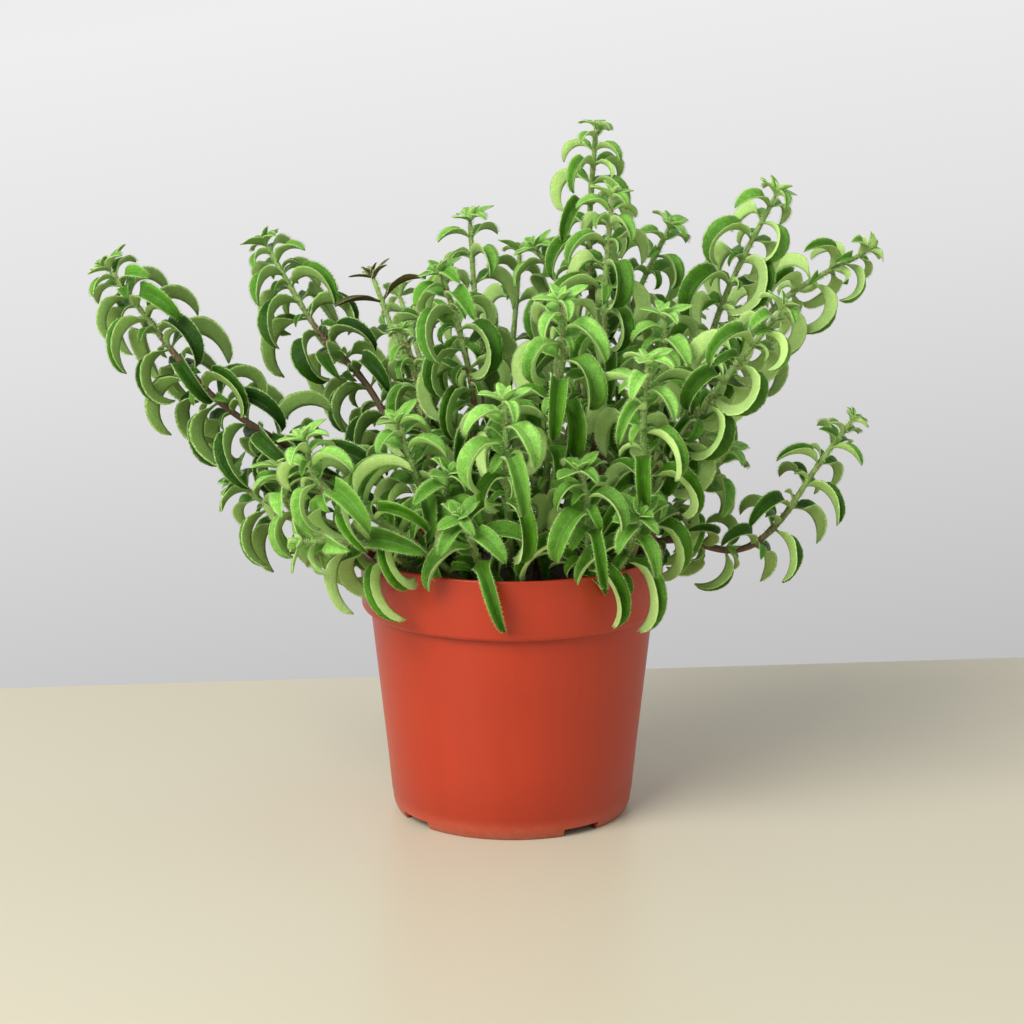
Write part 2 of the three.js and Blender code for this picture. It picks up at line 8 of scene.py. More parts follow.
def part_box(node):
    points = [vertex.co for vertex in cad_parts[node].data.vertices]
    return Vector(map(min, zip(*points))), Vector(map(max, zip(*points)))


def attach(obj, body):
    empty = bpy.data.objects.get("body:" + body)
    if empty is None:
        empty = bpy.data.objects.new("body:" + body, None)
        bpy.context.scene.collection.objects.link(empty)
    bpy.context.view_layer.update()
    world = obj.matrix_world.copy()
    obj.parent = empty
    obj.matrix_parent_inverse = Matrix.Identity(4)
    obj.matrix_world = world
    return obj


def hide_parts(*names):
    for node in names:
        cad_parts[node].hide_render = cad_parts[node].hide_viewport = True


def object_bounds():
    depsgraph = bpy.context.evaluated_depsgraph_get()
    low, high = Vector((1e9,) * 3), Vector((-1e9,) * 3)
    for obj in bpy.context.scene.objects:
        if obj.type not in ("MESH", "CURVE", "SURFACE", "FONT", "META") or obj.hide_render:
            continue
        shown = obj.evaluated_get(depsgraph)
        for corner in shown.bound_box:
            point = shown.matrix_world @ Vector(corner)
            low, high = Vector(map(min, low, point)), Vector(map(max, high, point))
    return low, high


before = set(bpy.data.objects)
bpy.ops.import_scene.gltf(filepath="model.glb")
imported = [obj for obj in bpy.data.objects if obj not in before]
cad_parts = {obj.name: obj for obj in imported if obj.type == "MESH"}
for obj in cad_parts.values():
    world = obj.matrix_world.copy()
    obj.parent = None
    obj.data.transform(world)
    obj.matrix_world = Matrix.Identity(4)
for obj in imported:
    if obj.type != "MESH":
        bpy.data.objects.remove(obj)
FRAME_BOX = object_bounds()

bl_info = {
    "name": "Potted curly lipstick plant",
    "version": (1, 0, 0),
    "blender": (4, 5, 0),
    "location": "3D View > Sidebar > Plant",
    "description": "Makes a plant with recurved leaves in a moulded pot around its packed frame",
    "category": "Object",
}

MM = 0.001
POT_LOW, POT_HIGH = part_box("pot")
POT_AXIS = Vector(((POT_LOW.x + POT_HIGH.x) / 2, (POT_LOW.y + POT_HIGH.y) / 2, 0))
DOWN = Vector((0, 0, -1))
UP = Vector((0, 0, 1))
FRONT = Vector((0, -1, 0))

# Points nearer than this, in metres, are made one: on the pot and the peat, and on a stem
JOINED_WITHIN = 1e-6
STEM_JOINED_WITHIN = 1e-7

# The growth rule's values, the same as the frame's
STEM_FOOT_RADIUS = 2.1
STEM_TIP_RADIUS = 1.15
STEM_STEPS = 42
LEAF_STEPS = 24
FIRST_PAIR = 1.2
STALK_SHARE = 0.1
WIDTH_OF_LENGTH = 0.18
THIN_SHARE = 0.7
THICK_LENGTH = 100
STALK_THICKNESS = 1.4
THICKNESS_TAPER = 0.75
YOUNG_LENGTH = 31
TIP_LEAF_SHARE = 0.3
TIP_LEAF_GROWTH = 0.8
TIP_GAP_SHARE = 0.5
TIP_CURL_SHARE = 0.5
TIP_LIFT_DEG = 46
FULL_LIFT_DEG = 60
SAG_DEG = 50
STALK_BEND = 0.5
BLADE_BEND = 1.07
TURN_SPREAD_DEG = 16
LIFT_SPREAD_DEG = 9
LENGTH_SPREAD = 0.13
CURL_SPREAD = 0.22
TWIST_SPREAD_DEG = 34
SWAY_SPREAD_DEG = 16
FOLD_DEG = 58
FOLD_SPREAD_DEG = 13
TIP_FOLD_SHARE = 0.45
FOLD_START = 0.08
FOLD_FULL = 0.36

# Each way a leaf may step aside from its neighbours: turn, length, curl, sway and lift
BENDS = [
    (0, 1, 1, 0, 0),
    (16, 1, 1, 8, 0),
    (-16, 1, 1, -8, 0),
    (0, 1, 0.75, 0, 6),
    (0, 0.9, 1.25, 0, -8),
    (30, 0.95, 0.9, 18, 0),
    (-30, 0.95, 0.9, -18, 0),
    (8, 0.85, 0.6, 30, -6),
    (-8, 0.85, 0.6, -30, -6),
    (40, 0.75, 1.2, 30, -12),
    (-40, 0.75, 1.2, -30, -12),
    (0, 0.7, 0.4, 0, -16),
    (20, 0.6, 1, 0, -20),
    (-20, 0.6, 1, 0, -20),
]
FOUND_WITHIN = 0.06

# The stems: leaf and gap in millimetres, curl and turn in degrees, the length without leaves,
# the freshness of the green from 0 to 1, partly real and partly painted light and shade: low on the
# stems at the left as painted shade, high on the stems low in front as painted light, and the points of
# the path
STEMS = [
    (41, 8.7, 150, 38, 62, 0.1, [(-34, -4, 126), (-99, -18, 181), (-146, -28, 217), (-193, -30, 278)]),
    (40, 9.5, 155, 50, 60, 0.1, [(-30, 18, 126), (-69, 30, 204), (-98, 42, 236), (-125, 50, 280)]),
    (38, 24, 75, 30, 92, 0.15, [(-34, 28, 126), (-49, 28, 205), (-62, 34, 243), (-70, 36, 265)]),
    (30, 15, 185, 55, 60, 0.5, [(-28, 2, 126), (-43, 5, 189), (-48, 5, 222), (-54, 5, 242)]),
    (45, 10.6, 180, 42, 46, 0.3, [(-17, -10, 126), (-18, -15, 203), (-25, -22, 245), (-34, -25, 275)]),
    (38, 16, 150, 35, 100, 0.6, [(-8, 18, 126), (-14, 30, 204), (-19, 35, 259), (-21, 35, 294)]),
    (32, 10.6, 150, 48, 110, 0.5, [(22, 12, 126), (40, 15, 217), (38, 15, 287), (41, 10, 343)]),
    (36, 12, 165, 30, 96, 0.6, [(30, -3, 126), (44, -12, 212), (45, -18, 267), (48, -20, 312)]),
    (37, 13.5, 170, 55, 92, 0.6, [(38, 14, 126), (49, 25, 205), (60, 25, 251), (78, 20, 292)]),
    (42, 15, 160, 40, 92, 0.5, [(12, 26, 126), (33, 30, 209), (27, 28, 253), (12, 22, 281)]),
    (46, 10.8, 200, 40, 34, 0.8, [(12, -26, 126), (19, -45, 203), (24, -52, 238), (23, -58, 266)]),
    (41, 13, 215, 36, 80, 0.55, [(48, 12, 126), (84, 15, 192), (105, 10, 258), (129, 5, 310)]),
    (37, 12.5, 190, 52, 105, 0.5, [(54, 28, 126), (97, 60, 188), (137, 80, 243), (187, 95, 271)]),
    (42, 11.8, 225, 45, 50, 0.5, [(30, -34, 126), (66, -45, 180), (96, -50, 221), (127, -55, 262)]),
    (43, 12, 170, 30, 55, 0.85, [(42, -6, 126), (68, -15, 183), (73, -22, 224), (73, -28, 255)]),
    (41, 12, 170, 60, 28, 0.9, [(54, -34, 126), (65, -55, 169), (62, -65, 206), (64, -70, 239)]),
    (29, 13.5, 115, 40, 46, 0.35, [
        (45, -17, 127), (76, -19, 142), (110, -20, 137),
        (130, -23, 151), (149, -26, 181), (165, -28, 204),
    ]),
    (47, 10.6, 215, 35, 24, 1.0, [(0, -42, 126), (-2, -68, 174), (-3, -78, 200), (-3, -82, 223)]),
    (40, 11.5, 165, 50, 25, 0.95, [(-22, -46, 126), (-56, -66, 158), (-89, -74, 180), (-97, -76, 204)]),
    (39, 12, 155, 35, 35, 0.9, [
        (-42, -26, 126), (-72, -37, 149), (-96, -43, 159), (-108, -44, 169), (-111, -44, 184),
    ]),
    (42, 12, 160, 45, 25, 0.6, [(-28, -26, 126), (-42, -42, 168), (-50, -48, 192), (-54, -50, 207)]),
    (43, 11, 145, 30, 14, 0.85, [(-12, -50, 126), (-16, -60, 141), (-20, -70, 156), (-24, -79, 167)]),
    (43, 12, 125, 45, 20, 0.75, [(-40, -38, 126), (-62, -56, 146), (-84, -64, 152), (-100, -68, 152)]),
    (42, 12.5, 140, 40, 22, 0.6, [(56, -2, 126), (82, -14, 159), (97, -18, 174), (104, -20, 187)]),
    (43, 11, 140, 55, 16, 0.85, [(46, -44, 126), (54, -56, 142), (58, -68, 156), (60, -77, 167)]),
    (43, 12, 150, 35, 18, 0.8, [(-24, -30, 126), (-30, -44, 150), (-32, -54, 168), (-30, -62, 184)]),
    (44, 11.5, 165, 50, 16, 0.85, [(30, -52, 126), (36, -66, 148), (36, -76, 170), (32, -82, 190)]),
    (40, 19, 165, 45, 45, 0.4, [(-26, 40, 126), (-38, 70, 180), (-50, 96, 218), (-60, 116, 244)]),
    (40, 19, 160, 55, 38, 0.4, [(8, 48, 126), (14, 80, 170), (18, 112, 205), (20, 136, 232)]),
    (40, 19, 170, 30, 45, 0.4, [(34, 42, 126), (55, 70, 180), (75, 94, 215), (92, 108, 238)]),
    (43, 11, 130, 45, 42, 0.1, [(-46, -14, 126), (-82, -24, 146), (-110, -28, 156), (-134, -32, 174)]),
    (40, 19, 120, 50, 38, 0.35, [(24, 50, 126), (46, 82, 152), (80, 104, 166), (112, 114, 184)]),
    (40, 21, 160, 45, 60, 0.35, [(-4, 34, 126), (-2, 58, 196), (2, 72, 244), (4, 78, 272)]),
]

# Stems that differ: one whose tip has dried, those with a reddish flush, and those whose tips
# stay dull because they stand in the shade of the others
DRIED_TIP = 2
SPOTTED = (3, 4)
SHADED_TIPS = (21, 24, 25, 26)

# How the youth, width, freshness and wave of a leaf's blade vary
YOUTH_REACH = 1.5
SHADED_YOUTH = 0.35
DRIED_WIDTHS = (0.85, 0.6)
DRIED_FADE = 1.2
MOST_WAVE = 0.5
WAVED_LENGTH = 40

# The small leaves round a growing point
BUD_LEAVES = 6
BUD_NUMBERS = range(100, 100 + BUD_LEAVES)
BUD_LEAF_SHARE = 0.35
BUD_FULL_WIDTH = 1.5
BUD_SHRINK = 0.62
BUD_SHORTER = 0.9
BUD_SUNK = 0.6
BUD_LAYER_GAP = 0.8
BUD_LIFT_DEG = 58
BUD_CURL_DEG = 28
BUD_FOLD_DEG = 12
BUD_TURN_SPREAD_DEG = 14
BUD_LENGTH_SPREAD = 0.15
BUD_LIFT_SPREAD_DEG = 6
BUD_FOLD_SPREAD_DEG = 8

# The small leaves in the axils of the grown ones, and the old ones below them
SIDE_NUMBERS_FROM = 200
SIDE_SHARE = 0.62
SIDE_FROM_TIP = 14
SIDE_ABOVE_PAIR = 1.5
SIDE_LENGTHS = (11, 19)
SIDE_YOUTHS = (0.2, 0.7)
OLD_NUMBERS_FROM = 300
OLD_FROM_SOIL = 11
OLD_GAP = 10
OLD_LENGTHS = (14, 21)
SMALL_LIFT_DEG = 48
SMALL_CURL_SHARE = 0.8
SMALL_MOST_CURL_DEG = 150
SMALL_SAG_DEG = 20
SMALL_FOLD_DEG = 32
SMALL_TURN_SPREAD_DEG = 32
SMALL_LIFT_SPREAD_DEG = 14
SMALL_CURL_SPREAD_DEG = 35
SMALL_TWIST_SPREAD_DEG = 50
SMALL_FOLD_SPREAD_DEG = 14

# What a fixed draw is for: a leaf and its blade, a stem and its hairs, a bud leaf and a small leaf
TURN, LIFT, LENGTH, CURL, TWIST, SWAY, FOLD, WAVE, PHASE, CHANCE = range(10)
BARK = 12
HAIR_PLACE, HAIR_ANGLE, HAIR_TILT, HAIR_REACH = range(13, 17)
BUD_TURN, BUD_LENGTH, BUD_LIFT, BUD_FOLD = range(20, 24)
(
    KEPT, SMALL_TURN, SMALL_LIFT, SMALL_LENGTH,
    SMALL_CURL, SMALL_TWIST, SMALL_YOUTH, SMALL_FOLD,
) = range(30, 38)

# A mask of 32 bits, and the factors that stir the numbers of a fixed draw
DRAW_MASK = 0xFFFFFFFF
STEM_FACTOR = 374761393
LEAF_FACTOR = 668265263
KIND_FACTOR = 1274126177
FIRST_STIR = 2246822507
SECOND_STIR = 3266489909


def smooth(low, high, value):
    """Rises smoothly from 0 at low to 1 at high."""
    share = min(max((value - low) / (high - low), 0.0), 1.0)
    return share * share * (3 - 2 * share)


def mixed(low, high, share):
    return low + (high - low) * share


def times(a, b):
    return (a * b) & DRAW_MASK


def draw(stem, leaf, kind):
    """A fixed random draw from 0 to 1 for a stem, a leaf on it and the thing drawn."""
    h = times(stem + 1, STEM_FACTOR) ^ times(leaf + 1, LEAF_FACTOR) ^ times(kind + 1, KIND_FACTOR)
    h = times(h ^ (h >> 15), FIRST_STIR)
    h = times(h ^ (h >> 13), SECOND_STIR)
    return (h ^ (h >> 16)) / (DRAW_MASK + 1)


def spread(stem, leaf, kind, size):
    return size * (2 * draw(stem, leaf, kind) - 1)


def in_frame(point):
    """A point of the growth rule as a place in the frame, in metres."""
    return point * MM + POT_AXIS


def kept_in(place):
    """A place moved into the frame's box where it would stand out of it."""
    for axis in range(3):
        place[axis] = min(max(place[axis], FRAME_BOX[0][axis]), FRAME_BOX[1][axis])
    return place


def path_point(path, share):
    """A point on the smooth line through a stem's points, at a share of the way along."""
    at = min(share, 1 - 1e-9) * (len(path) - 1)
    span = int(at)
    t = at - span
    points = [Vector(p) for p in path]
    points = [points[0] * 2 - points[1], *points, points[-1] * 2 - points[-2]]
    a, b, c, d = points[span:span + 4]
    weights = (
        -t + 2 * t * t - t**3,
        2 - 5 * t * t + 3 * t**3,
        t + 4 * t * t - 3 * t**3,
        -t * t + t**3,
    )
    return (a * weights[0] + b * weights[1] + c * weights[2] + d * weights[3]) / 2


class StemLine:
    """A stem's line: its points, tangents and a normal that turns no more than the line does."""

    def __init__(self, path):
        self.points = [path_point(path, i / STEM_STEPS) for i in range(STEM_STEPS + 1)]
        self.lengths = [0.0]
        for i in range(1, STEM_STEPS + 1):
            self.lengths.append(self.lengths[-1] + (self.points[i] - self.points[i - 1]).length)
        self.total = self.lengths[-1]
        self.tangents = []
        for i in range(STEM_STEPS + 1):
            after = self.points[min(i + 1, STEM_STEPS)]
            before = self.points[max(i - 1, 0)]
            self.tangents.append((after - before).normalized())
        self.normals = []
        normal = FRONT
        for tangent in self.tangents:
            normal = (normal - tangent * normal.dot(tangent)).normalized()
            self.normals.append(normal)

    def at(self, length):
        """Place, direction and normal at a length along the line."""
        i = 1
        while i < STEM_STEPS and self.lengths[i] < length:
            i += 1
        share = (length - self.lengths[i - 1]) / (self.lengths[i] - self.lengths[i - 1])
        tangent = self.tangents[i - 1].lerp(self.tangents[i], share).normalized()
        normal = self.normals[i - 1].lerp(self.normals[i], share)
        normal = (normal - tangent * normal.dot(tangent)).normalized()
        return self.points[i - 1].lerp(self.points[i], share), tangent, normal


def stem_radius(share):
    return mixed(STEM_FOOT_RADIUS, STEM_TIP_RADIUS, share)


def pair_places(gap, bare, total):
    """Lengths along the stem at which its pairs of leaves stand, from the tip down."""
    places = []
    from_tip = FIRST_PAIR
    while total - from_tip > bare:
        places.append(total - from_tip)
        grown = min(1, from_tip / YOUNG_LENGTH)
        from_tip += gap * mixed(TIP_GAP_SHARE, 1, grown)
    return places


def outward(tangent, normal, turn):
    """The direction out of a stem at an angle round it."""
    return normal * math.cos(turn) + tangent.cross(normal) * math.sin(turn)


class Leaf:
    """One leaf's line, as places, directions, sides and upper normals at even steps."""

    def __init__(self, start, out, length, lift, curl, twist, sway, sag):
        point, tangent = start
        self.length = length
        self.points = []
        self.directions = []
        self.edges = []
        self.uppers = []
        direction = tangent * math.cos(lift) + out * math.sin(lift)
        upper = tangent * math.sin(lift) - out * math.cos(lift)
        edge = tangent.cross(out)
        point = point.copy()
        for i in range(LEAF_STEPS + 1):
            self.points.append(point.copy())
            self.directions.append(direction.copy())
            self.edges.append(edge.copy())
            self.uppers.append(upper.copy())
            weight = STALK_BEND if i / LEAF_STEPS < STALK_SHARE else BLADE_BEND
            turn = Quaternion(edge, curl * weight / LEAF_STEPS)
            direction.rotate(turn)
            upper.rotate(turn)
            turn = Quaternion(direction, twist / LEAF_STEPS)
            edge.rotate(turn)
            upper.rotate(turn)
            turn = Quaternion(upper, (sway + sag * edge.dot(DOWN)) / LEAF_STEPS)
            direction.rotate(turn)
            edge.rotate(turn)
            point += direction * (length / LEAF_STEPS)

    def marked(self, index, number, youth, fold_deg):
        """The leaf itself, with its stem's number, its own, how young it is and how folded."""
        self.index = index
        self.number = number
        self.youth = youth
        self.fold_deg = fold_deg
        return self

    def at(self, v):
        """Place, direction, side and upper normal at a share of the leaf's length."""
        i = min(int(v * LEAF_STEPS), LEAF_STEPS - 1)
        share = v * LEAF_STEPS - i
        return (
            self.points[i].lerp(self.points[i + 1], share),
            self.directions[i].lerp(self.directions[i + 1], share),
            self.edges[i].lerp(self.edges[i + 1], share),
            self.uppers[i].lerp(self.uppers[i + 1], share),
        )


def pair_leaf(index, line, place, pair, side, bend):
    """The leaf of a pair that stands at a length along stem number index."""
    leaf_length, _, stem_curl, stem_turn, _, _, _ = STEMS[index]
    bend_turn, bend_length, bend_curl, bend_sway, bend_lift = bend
    number = 2 * pair + side
    grown = min(1, (line.total - place) / YOUNG_LENGTH)
    point, tangent, normal = line.at(place)
    turn_deg = stem_turn + 90 * pair + 180 * side + spread(index, number, TURN, TURN_SPREAD_DEG)
    out = outward(tangent, normal, math.radians(turn_deg + bend_turn))
    lift = mixed(TIP_LIFT_DEG, FULL_LIFT_DEG, grown) + spread(index, number, LIFT, LIFT_SPREAD_DEG)
    length = leaf_length * mixed(TIP_LEAF_SHARE, 1, grown**TIP_LEAF_GROWTH)
    length *= (1 + spread(index, number, LENGTH, LENGTH_SPREAD)) * bend_length
    curl = math.radians(stem_curl) * mixed(TIP_CURL_SHARE, 1, grown)
    curl *= (1 + spread(index, number, CURL, CURL_SPREAD)) * bend_curl
    twist = math.radians(spread(index, number, TWIST, TWIST_SPREAD_DEG))
    sway = math.radians(spread(index, number, SWAY, SWAY_SPREAD_DEG) + bend_sway)
    sag = math.radians(SAG_DEG) * grown
    leaf = Leaf((point, tangent), out, length, math.radians(lift + bend_lift), curl, twist, sway, sag)
    youth = 1 - smooth(0, YOUTH_REACH * YOUNG_LENGTH, line.total - place)
    fold_deg = FOLD_DEG + spread(index, number, FOLD, FOLD_SPREAD_DEG)
    return leaf.marked(index, number, youth, fold_deg * mixed(TIP_FOLD_SHARE, 1, grown))


def frame_points(name):
    """A search tree over the vertices of a node of the frame."""
    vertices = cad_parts[name].data.vertices
    tree = kdtree.KDTree(len(vertices))
    for vertex in vertices:
        tree.insert(vertex.co, vertex.index)
    tree.balance()
    return tree


def stem_name(index):
    return f"leafy_stem_{index + 1:02d}"


def stands_out(leaf):
    """Whether a leaf's line comes out of the frame's box."""
    places = [in_frame(point) for point in leaf.points]
    return any((place - kept_in(place.copy())).length > 0 for place in places)


def bud_leaves(index, line):
    """The small upright leaves around the growing point, past the first pair."""
    leaves = []
    leaf_length, _, _, stem_turn, _, _, _ = STEMS[index]
    point, tangent, normal = line.at(line.total)
    curl = math.radians(BUD_CURL_DEG)
    for number in range(BUD_LEAVES):
        layer = number // 2
        shrink = BUD_SHRINK**layer
        turn_deg = stem_turn + 90 * (layer + 1) + 180 * number
        turn_deg += spread(index, number, BUD_TURN, BUD_TURN_SPREAD_DEG)
        out = outward(tangent, normal, math.radians(turn_deg))
        length = leaf_length * BUD_LEAF_SHARE * shrink
        length *= 1 + spread(index, number, BUD_LENGTH, BUD_LENGTH_SPREAD)
        lift_deg = BUD_LIFT_DEG * shrink + spread(index, number, BUD_LIFT, BUD_LIFT_SPREAD_DEG)
        lift = math.radians(lift_deg)
        start = (point + tangent * (layer * BUD_LAYER_GAP - BUD_SUNK), tangent)
        leaf = Leaf(start, out, length, lift, curl, 0, 0, 0)
        while stands_out(leaf):
            leaf = Leaf(start, out, leaf.length * BUD_SHORTER, lift, curl, 0, 0, 0)
        fold_deg = BUD_FOLD_DEG + spread(index, number, BUD_FOLD, BUD_FOLD_SPREAD_DEG)
        leaves.append(leaf.marked(index, BUD_NUMBERS[number], 1.0, fold_deg))
    return leaves


def small_leaf(index, number, line, place, turn_deg, length, youth):
    """A small leaf at a length along stem number index, at an angle round it."""
    point, tangent, normal = line.at(place)
    turn_deg += spread(index, number, SMALL_TURN, SMALL_TURN_SPREAD_DEG)
    out = outward(tangent, normal, math.radians(turn_deg))
    lift_deg = SMALL_LIFT_DEG + spread(index, number, SMALL_LIFT, SMALL_LIFT_SPREAD_DEG)
    curl_deg = min(SMALL_MOST_CURL_DEG, SMALL_CURL_SHARE * STEMS[index][2])
    curl_deg += spread(index, number, SMALL_CURL, SMALL_CURL_SPREAD_DEG)
    twist_deg = spread(index, number, SMALL_TWIST, SMALL_TWIST_SPREAD_DEG)
    leaf = Leaf(
        (point, tangent), out, length, math.radians(lift_deg), math.radians(curl_deg),
        math.radians(twist_deg), 0, math.radians(SMALL_SAG_DEG),
    )
    fold_deg = SMALL_FOLD_DEG + spread(index, number, SMALL_FOLD, SMALL_FOLD_SPREAD_DEG)
    return leaf.marked(index, number, youth, fold_deg)


def side_leaves(index, line, places):
    """Small leaves in the axils, across from each pair of grown ones, and small old leaves on
    the stretch of the stem below them."""
    stem_turn, bare = STEMS[index][3:5]
    leaves = []
    for pair, place in enumerate(places):
        for side in (0, 1):
            number = SIDE_NUMBERS_FROM + 2 * pair + side
            if line.total - place < SIDE_FROM_TIP or draw(index, number, KEPT) > SIDE_SHARE:
                continue
            turn_deg = stem_turn + 90 * (pair + 1) + 180 * side
            length = mixed(*SIDE_LENGTHS, draw(index, number, SMALL_LENGTH))
            youth = mixed(*SIDE_YOUTHS, draw(index, number, SMALL_YOUTH))
            above = place + SIDE_ABOVE_PAIR
            leaves.append(small_leaf(index, number, line, above, turn_deg, length, youth))
    for pair in range(int((bare - OLD_FROM_SOIL) / OLD_GAP) + 1):
        for side in (0, 1):
            number = OLD_NUMBERS_FROM + 2 * pair + side
            place = OLD_FROM_SOIL + OLD_GAP * pair
            turn_deg = stem_turn + 90 * pair + 180 * side
            length = mixed(*OLD_LENGTHS, draw(index, number, SMALL_LENGTH))
            leaves.append(small_leaf(index, number, line, place, turn_deg, length, 0))
    return leaves


def grow(index):
    """The line of a stem, the leaves that the frame holds for it, and its small leaves."""
    _, gap, _, _, bare, _, path = STEMS[index]
    line = StemLine(path)
    tree = frame_points(stem_name(index))
    leaves = []
    places = pair_places(gap, bare, line.total)
    for pair, place in enumerate(places):
        for side in (0, 1):
            for bend in BENDS:
                leaf = pair_leaf(index, line, place, pair, side, bend)
                tip = in_frame(leaf.points[-1])
                if tree.find(tip)[2] < FOUND_WITHIN * MM:
                    leaves.append(leaf)
                    break
    if not leaves:
        raise RuntimeError(f"no leaf of {stem_name(index)} was found in the frame")
    return line, leaves, side_leaves(index, line, places) + bud_leaves(index, line)


def vary(leaf):
    """Draws how a leaf's blade is waved and how its colour differs."""
    # The stem's freshness, partly real and partly painted light and shade
    leaf.fresh = STEMS[leaf.index][5]
    leaf.full_width = BUD_FULL_WIDTH if leaf.number in BUD_NUMBERS else 1.0
    if leaf.index in SHADED_TIPS:
        leaf.youth *= SHADED_YOUTH
    if leaf.index == DRIED_TIP:
        leaf.full_width = mixed(*DRIED_WIDTHS, leaf.youth)
        leaf.fresh -= DRIED_FADE * leaf.youth
    leaf.wave = MOST_WAVE * draw(leaf.index, leaf.number, WAVE) * leaf.length / WAVED_LENGTH
    leaf.phase = draw(leaf.index, leaf.number, PHASE)
    leaf.chance = draw(leaf.index, leaf.number, CHANCE)


class PlantSizes(bpy.types.PropertyGroup):
    rim_radius: bpy.props.FloatProperty(
        name="Rim radius", description="Outer radius of the pot's rim",
        default=(POT_HIGH.y - POT_LOW.y) / 2, unit="LENGTH",
    )
    pot_height: bpy.props.FloatProperty(
        name="Pot height", description="Height of the pot from the ground to its lip",
        default=POT_HIGH.z, unit="LENGTH",
    )
    soil_height: bpy.props.FloatProperty(
        name="Soil height", description="Height of the soil at the wall of the pot",
        default=0.121, unit="LENGTH",
    )
    crumb_size: bpy.props.FloatProperty(
        name="Crumb size", description="Mean width of a crumb of peat",
        default=0.0032, unit="LENGTH",
    )
    margin_thickness: bpy.props.FloatProperty(
        name="Margin thickness", description="Thickness of a leaf at its margin",
        default=0.00042, unit="LENGTH",
    )
    hair_length: bpy.props.FloatProperty(
        name="Hair length", description="Length of the hairs on leaf margins and young stems",
        default=0.0016, unit="LENGTH",
    )
    hair_radius: bpy.props.FloatProperty(
        name="Hair radius", description="Radius of a hair at its root",
        default=0.00016, unit="LENGTH",
    )


def colour_property(name, description, default):
    return bpy.props.FloatVectorProperty(
        name=name, description=description, default=default, subtype="COLOR", size=3, min=0, max=1
    )


class PlantColours(bpy.types.PropertyGroup):
    pot: colour_property("Pot", "Moulded plastic of the pot", (0.415, 0.031, 0.007))
    soil: colour_property("Soil", "Damp peat", (0.03, 0.019, 0.011))
    leaf_dark: colour_property("Old leaf", "Upper face of an old leaf", (0.010, 0.042, 0.002))
    leaf_mid: colour_property("Grown leaf", "Upper face of a grown leaf", (0.064, 0.195, 0.008))
    leaf_young: colour_property("Young leaf", "Upper face of a tip leaf", (0.10, 0.285, 0.024))
    # Goes on the stems with the most freshness and painted light
    leaf_bright: colour_property(
        "Bright young leaf", "Upper face of a tip leaf on the freshest stems", (0.27, 0.56, 0.105)
    )
    leaf_under: colour_property("Underside", "Lower face of a leaf", (0.60, 0.86, 0.28))
    leaf_under_old: colour_property(
        "Old underside", "Lower face of a leaf on a dark stem", (0.070, 0.172, 0.015)
    )
    margin: colour_property("Margin", "Pale line along a leaf's margin", (0.50, 0.76, 0.23))
    stem_old: colour_property("Old stem", "Bark near the foot", (0.10, 0.065, 0.03))
    stem_young: colour_property("Young stem", "Stem near its tip", (0.22, 0.38, 0.09))
    stem_red: colour_property("Stem spots", "Reddish flush on a stem", (0.22, 0.045, 0.035))
    hair: colour_property("Hairs", "Short hairs on margins and stems", (0.70, 0.88, 0.42))
    dry: colour_property("Dried tip", "Dried leaves at a stem's end", (0.075, 0.060, 0.020))
    floor: colour_property("Floor", "Plain pale table top", (0.525, 0.492, 0.376))
    wall: colour_property("Backdrop", "Plain pale room", (0.87, 0.862, 0.866))


# A piece's own map and the attribute that holds its youth, underside, chance, and freshness with
# painted light and shade
SURFACE_MAP = "surface"
TONE = "tone"

# Colours of the dust at the pot's foot and of the bits of bark and pale root in the peat
DUST = (0.42, 0.20, 0.12)
DUST_TOP = 0.012
BARK_BIT = (0.085, 0.045, 0.022)
PALE_BIT = (0.14, 0.085, 0.045)

VEIN_PAIRS = 7
VEIN_SLANT = 0.12


class Nodes:
    """A node tree, with short calls for the few kinds of node used here."""

    def __init__(self, tree):
        self.tree = tree

    def join(self, source, target):
        """Links an output to an input, or sets a plain value on it."""
        if isinstance(source, bpy.types.NodeSocket):
            self.tree.links.new(source, target)
        elif target.type == "RGBA":
            target.default_value = (*source, 1)
        else:
            target.default_value = source

    def new(self, kind, **values):
        """A new node of a kind, with its inputs given by name."""
        node = self.tree.nodes.new("ShaderNode" + kind)
        for name, value in values.items():
            self.join(value, node.inputs[name])
        return node

    def parted(self, vector):
        """The three outputs of a vector."""
        return self.new("SeparateXYZ", Vector=vector).outputs

    def noise(self, vector, scale, detail=3.0, roughness=0.5):
        node = self.new("TexNoise", Vector=vector, Scale=scale, Detail=detail, Roughness=roughness)
        return node.outputs["Fac"]

    def stretched(self, vector, scale):
        return self.new("Mapping", Vector=vector, Scale=scale).outputs["Vector"]

    def maths(self, operation, a, b=0.0, c=0.0):
        node = self.new("Math")
        node.operation = operation
        for source, target in zip((a, b, c), node.inputs):
            self.join(source, target)
        return node.outputs[0]

    def product(self, first, *others):
        for other in others:
            first = self.maths("MULTIPLY", first, other)
        return first

    def ranged(self, value, low, high, start=0.0, end=1.0, eased=True):
        """value from low to high, as start to end, eased or even, and held past both."""
        node = self.new("MapRange")
        node.interpolation_type = "SMOOTHSTEP" if eased else "LINEAR"
        for source, target in zip((value, low, high, start, end), node.inputs):
            self.join(source, target)
        return node.outputs[0]

    def mix(self, share, a, b):
        """Colour a, turning to colour b with the share."""
        node = self.new("Mix")
        node.data_type = "RGBA"
        self.join(share, node.inputs[0])
        self.join(a, node.inputs[6])
        self.join(b, node.inputs[7])
        return node.outputs[2]

    def shaded(self, colour, share):
        """A colour made lighter or darker by a number."""
        node = self.new("VectorMath")
        node.operation = "SCALE"
        self.join(colour, node.inputs[0])
        self.join(share, node.inputs["Scale"])
        return node.outputs[0]


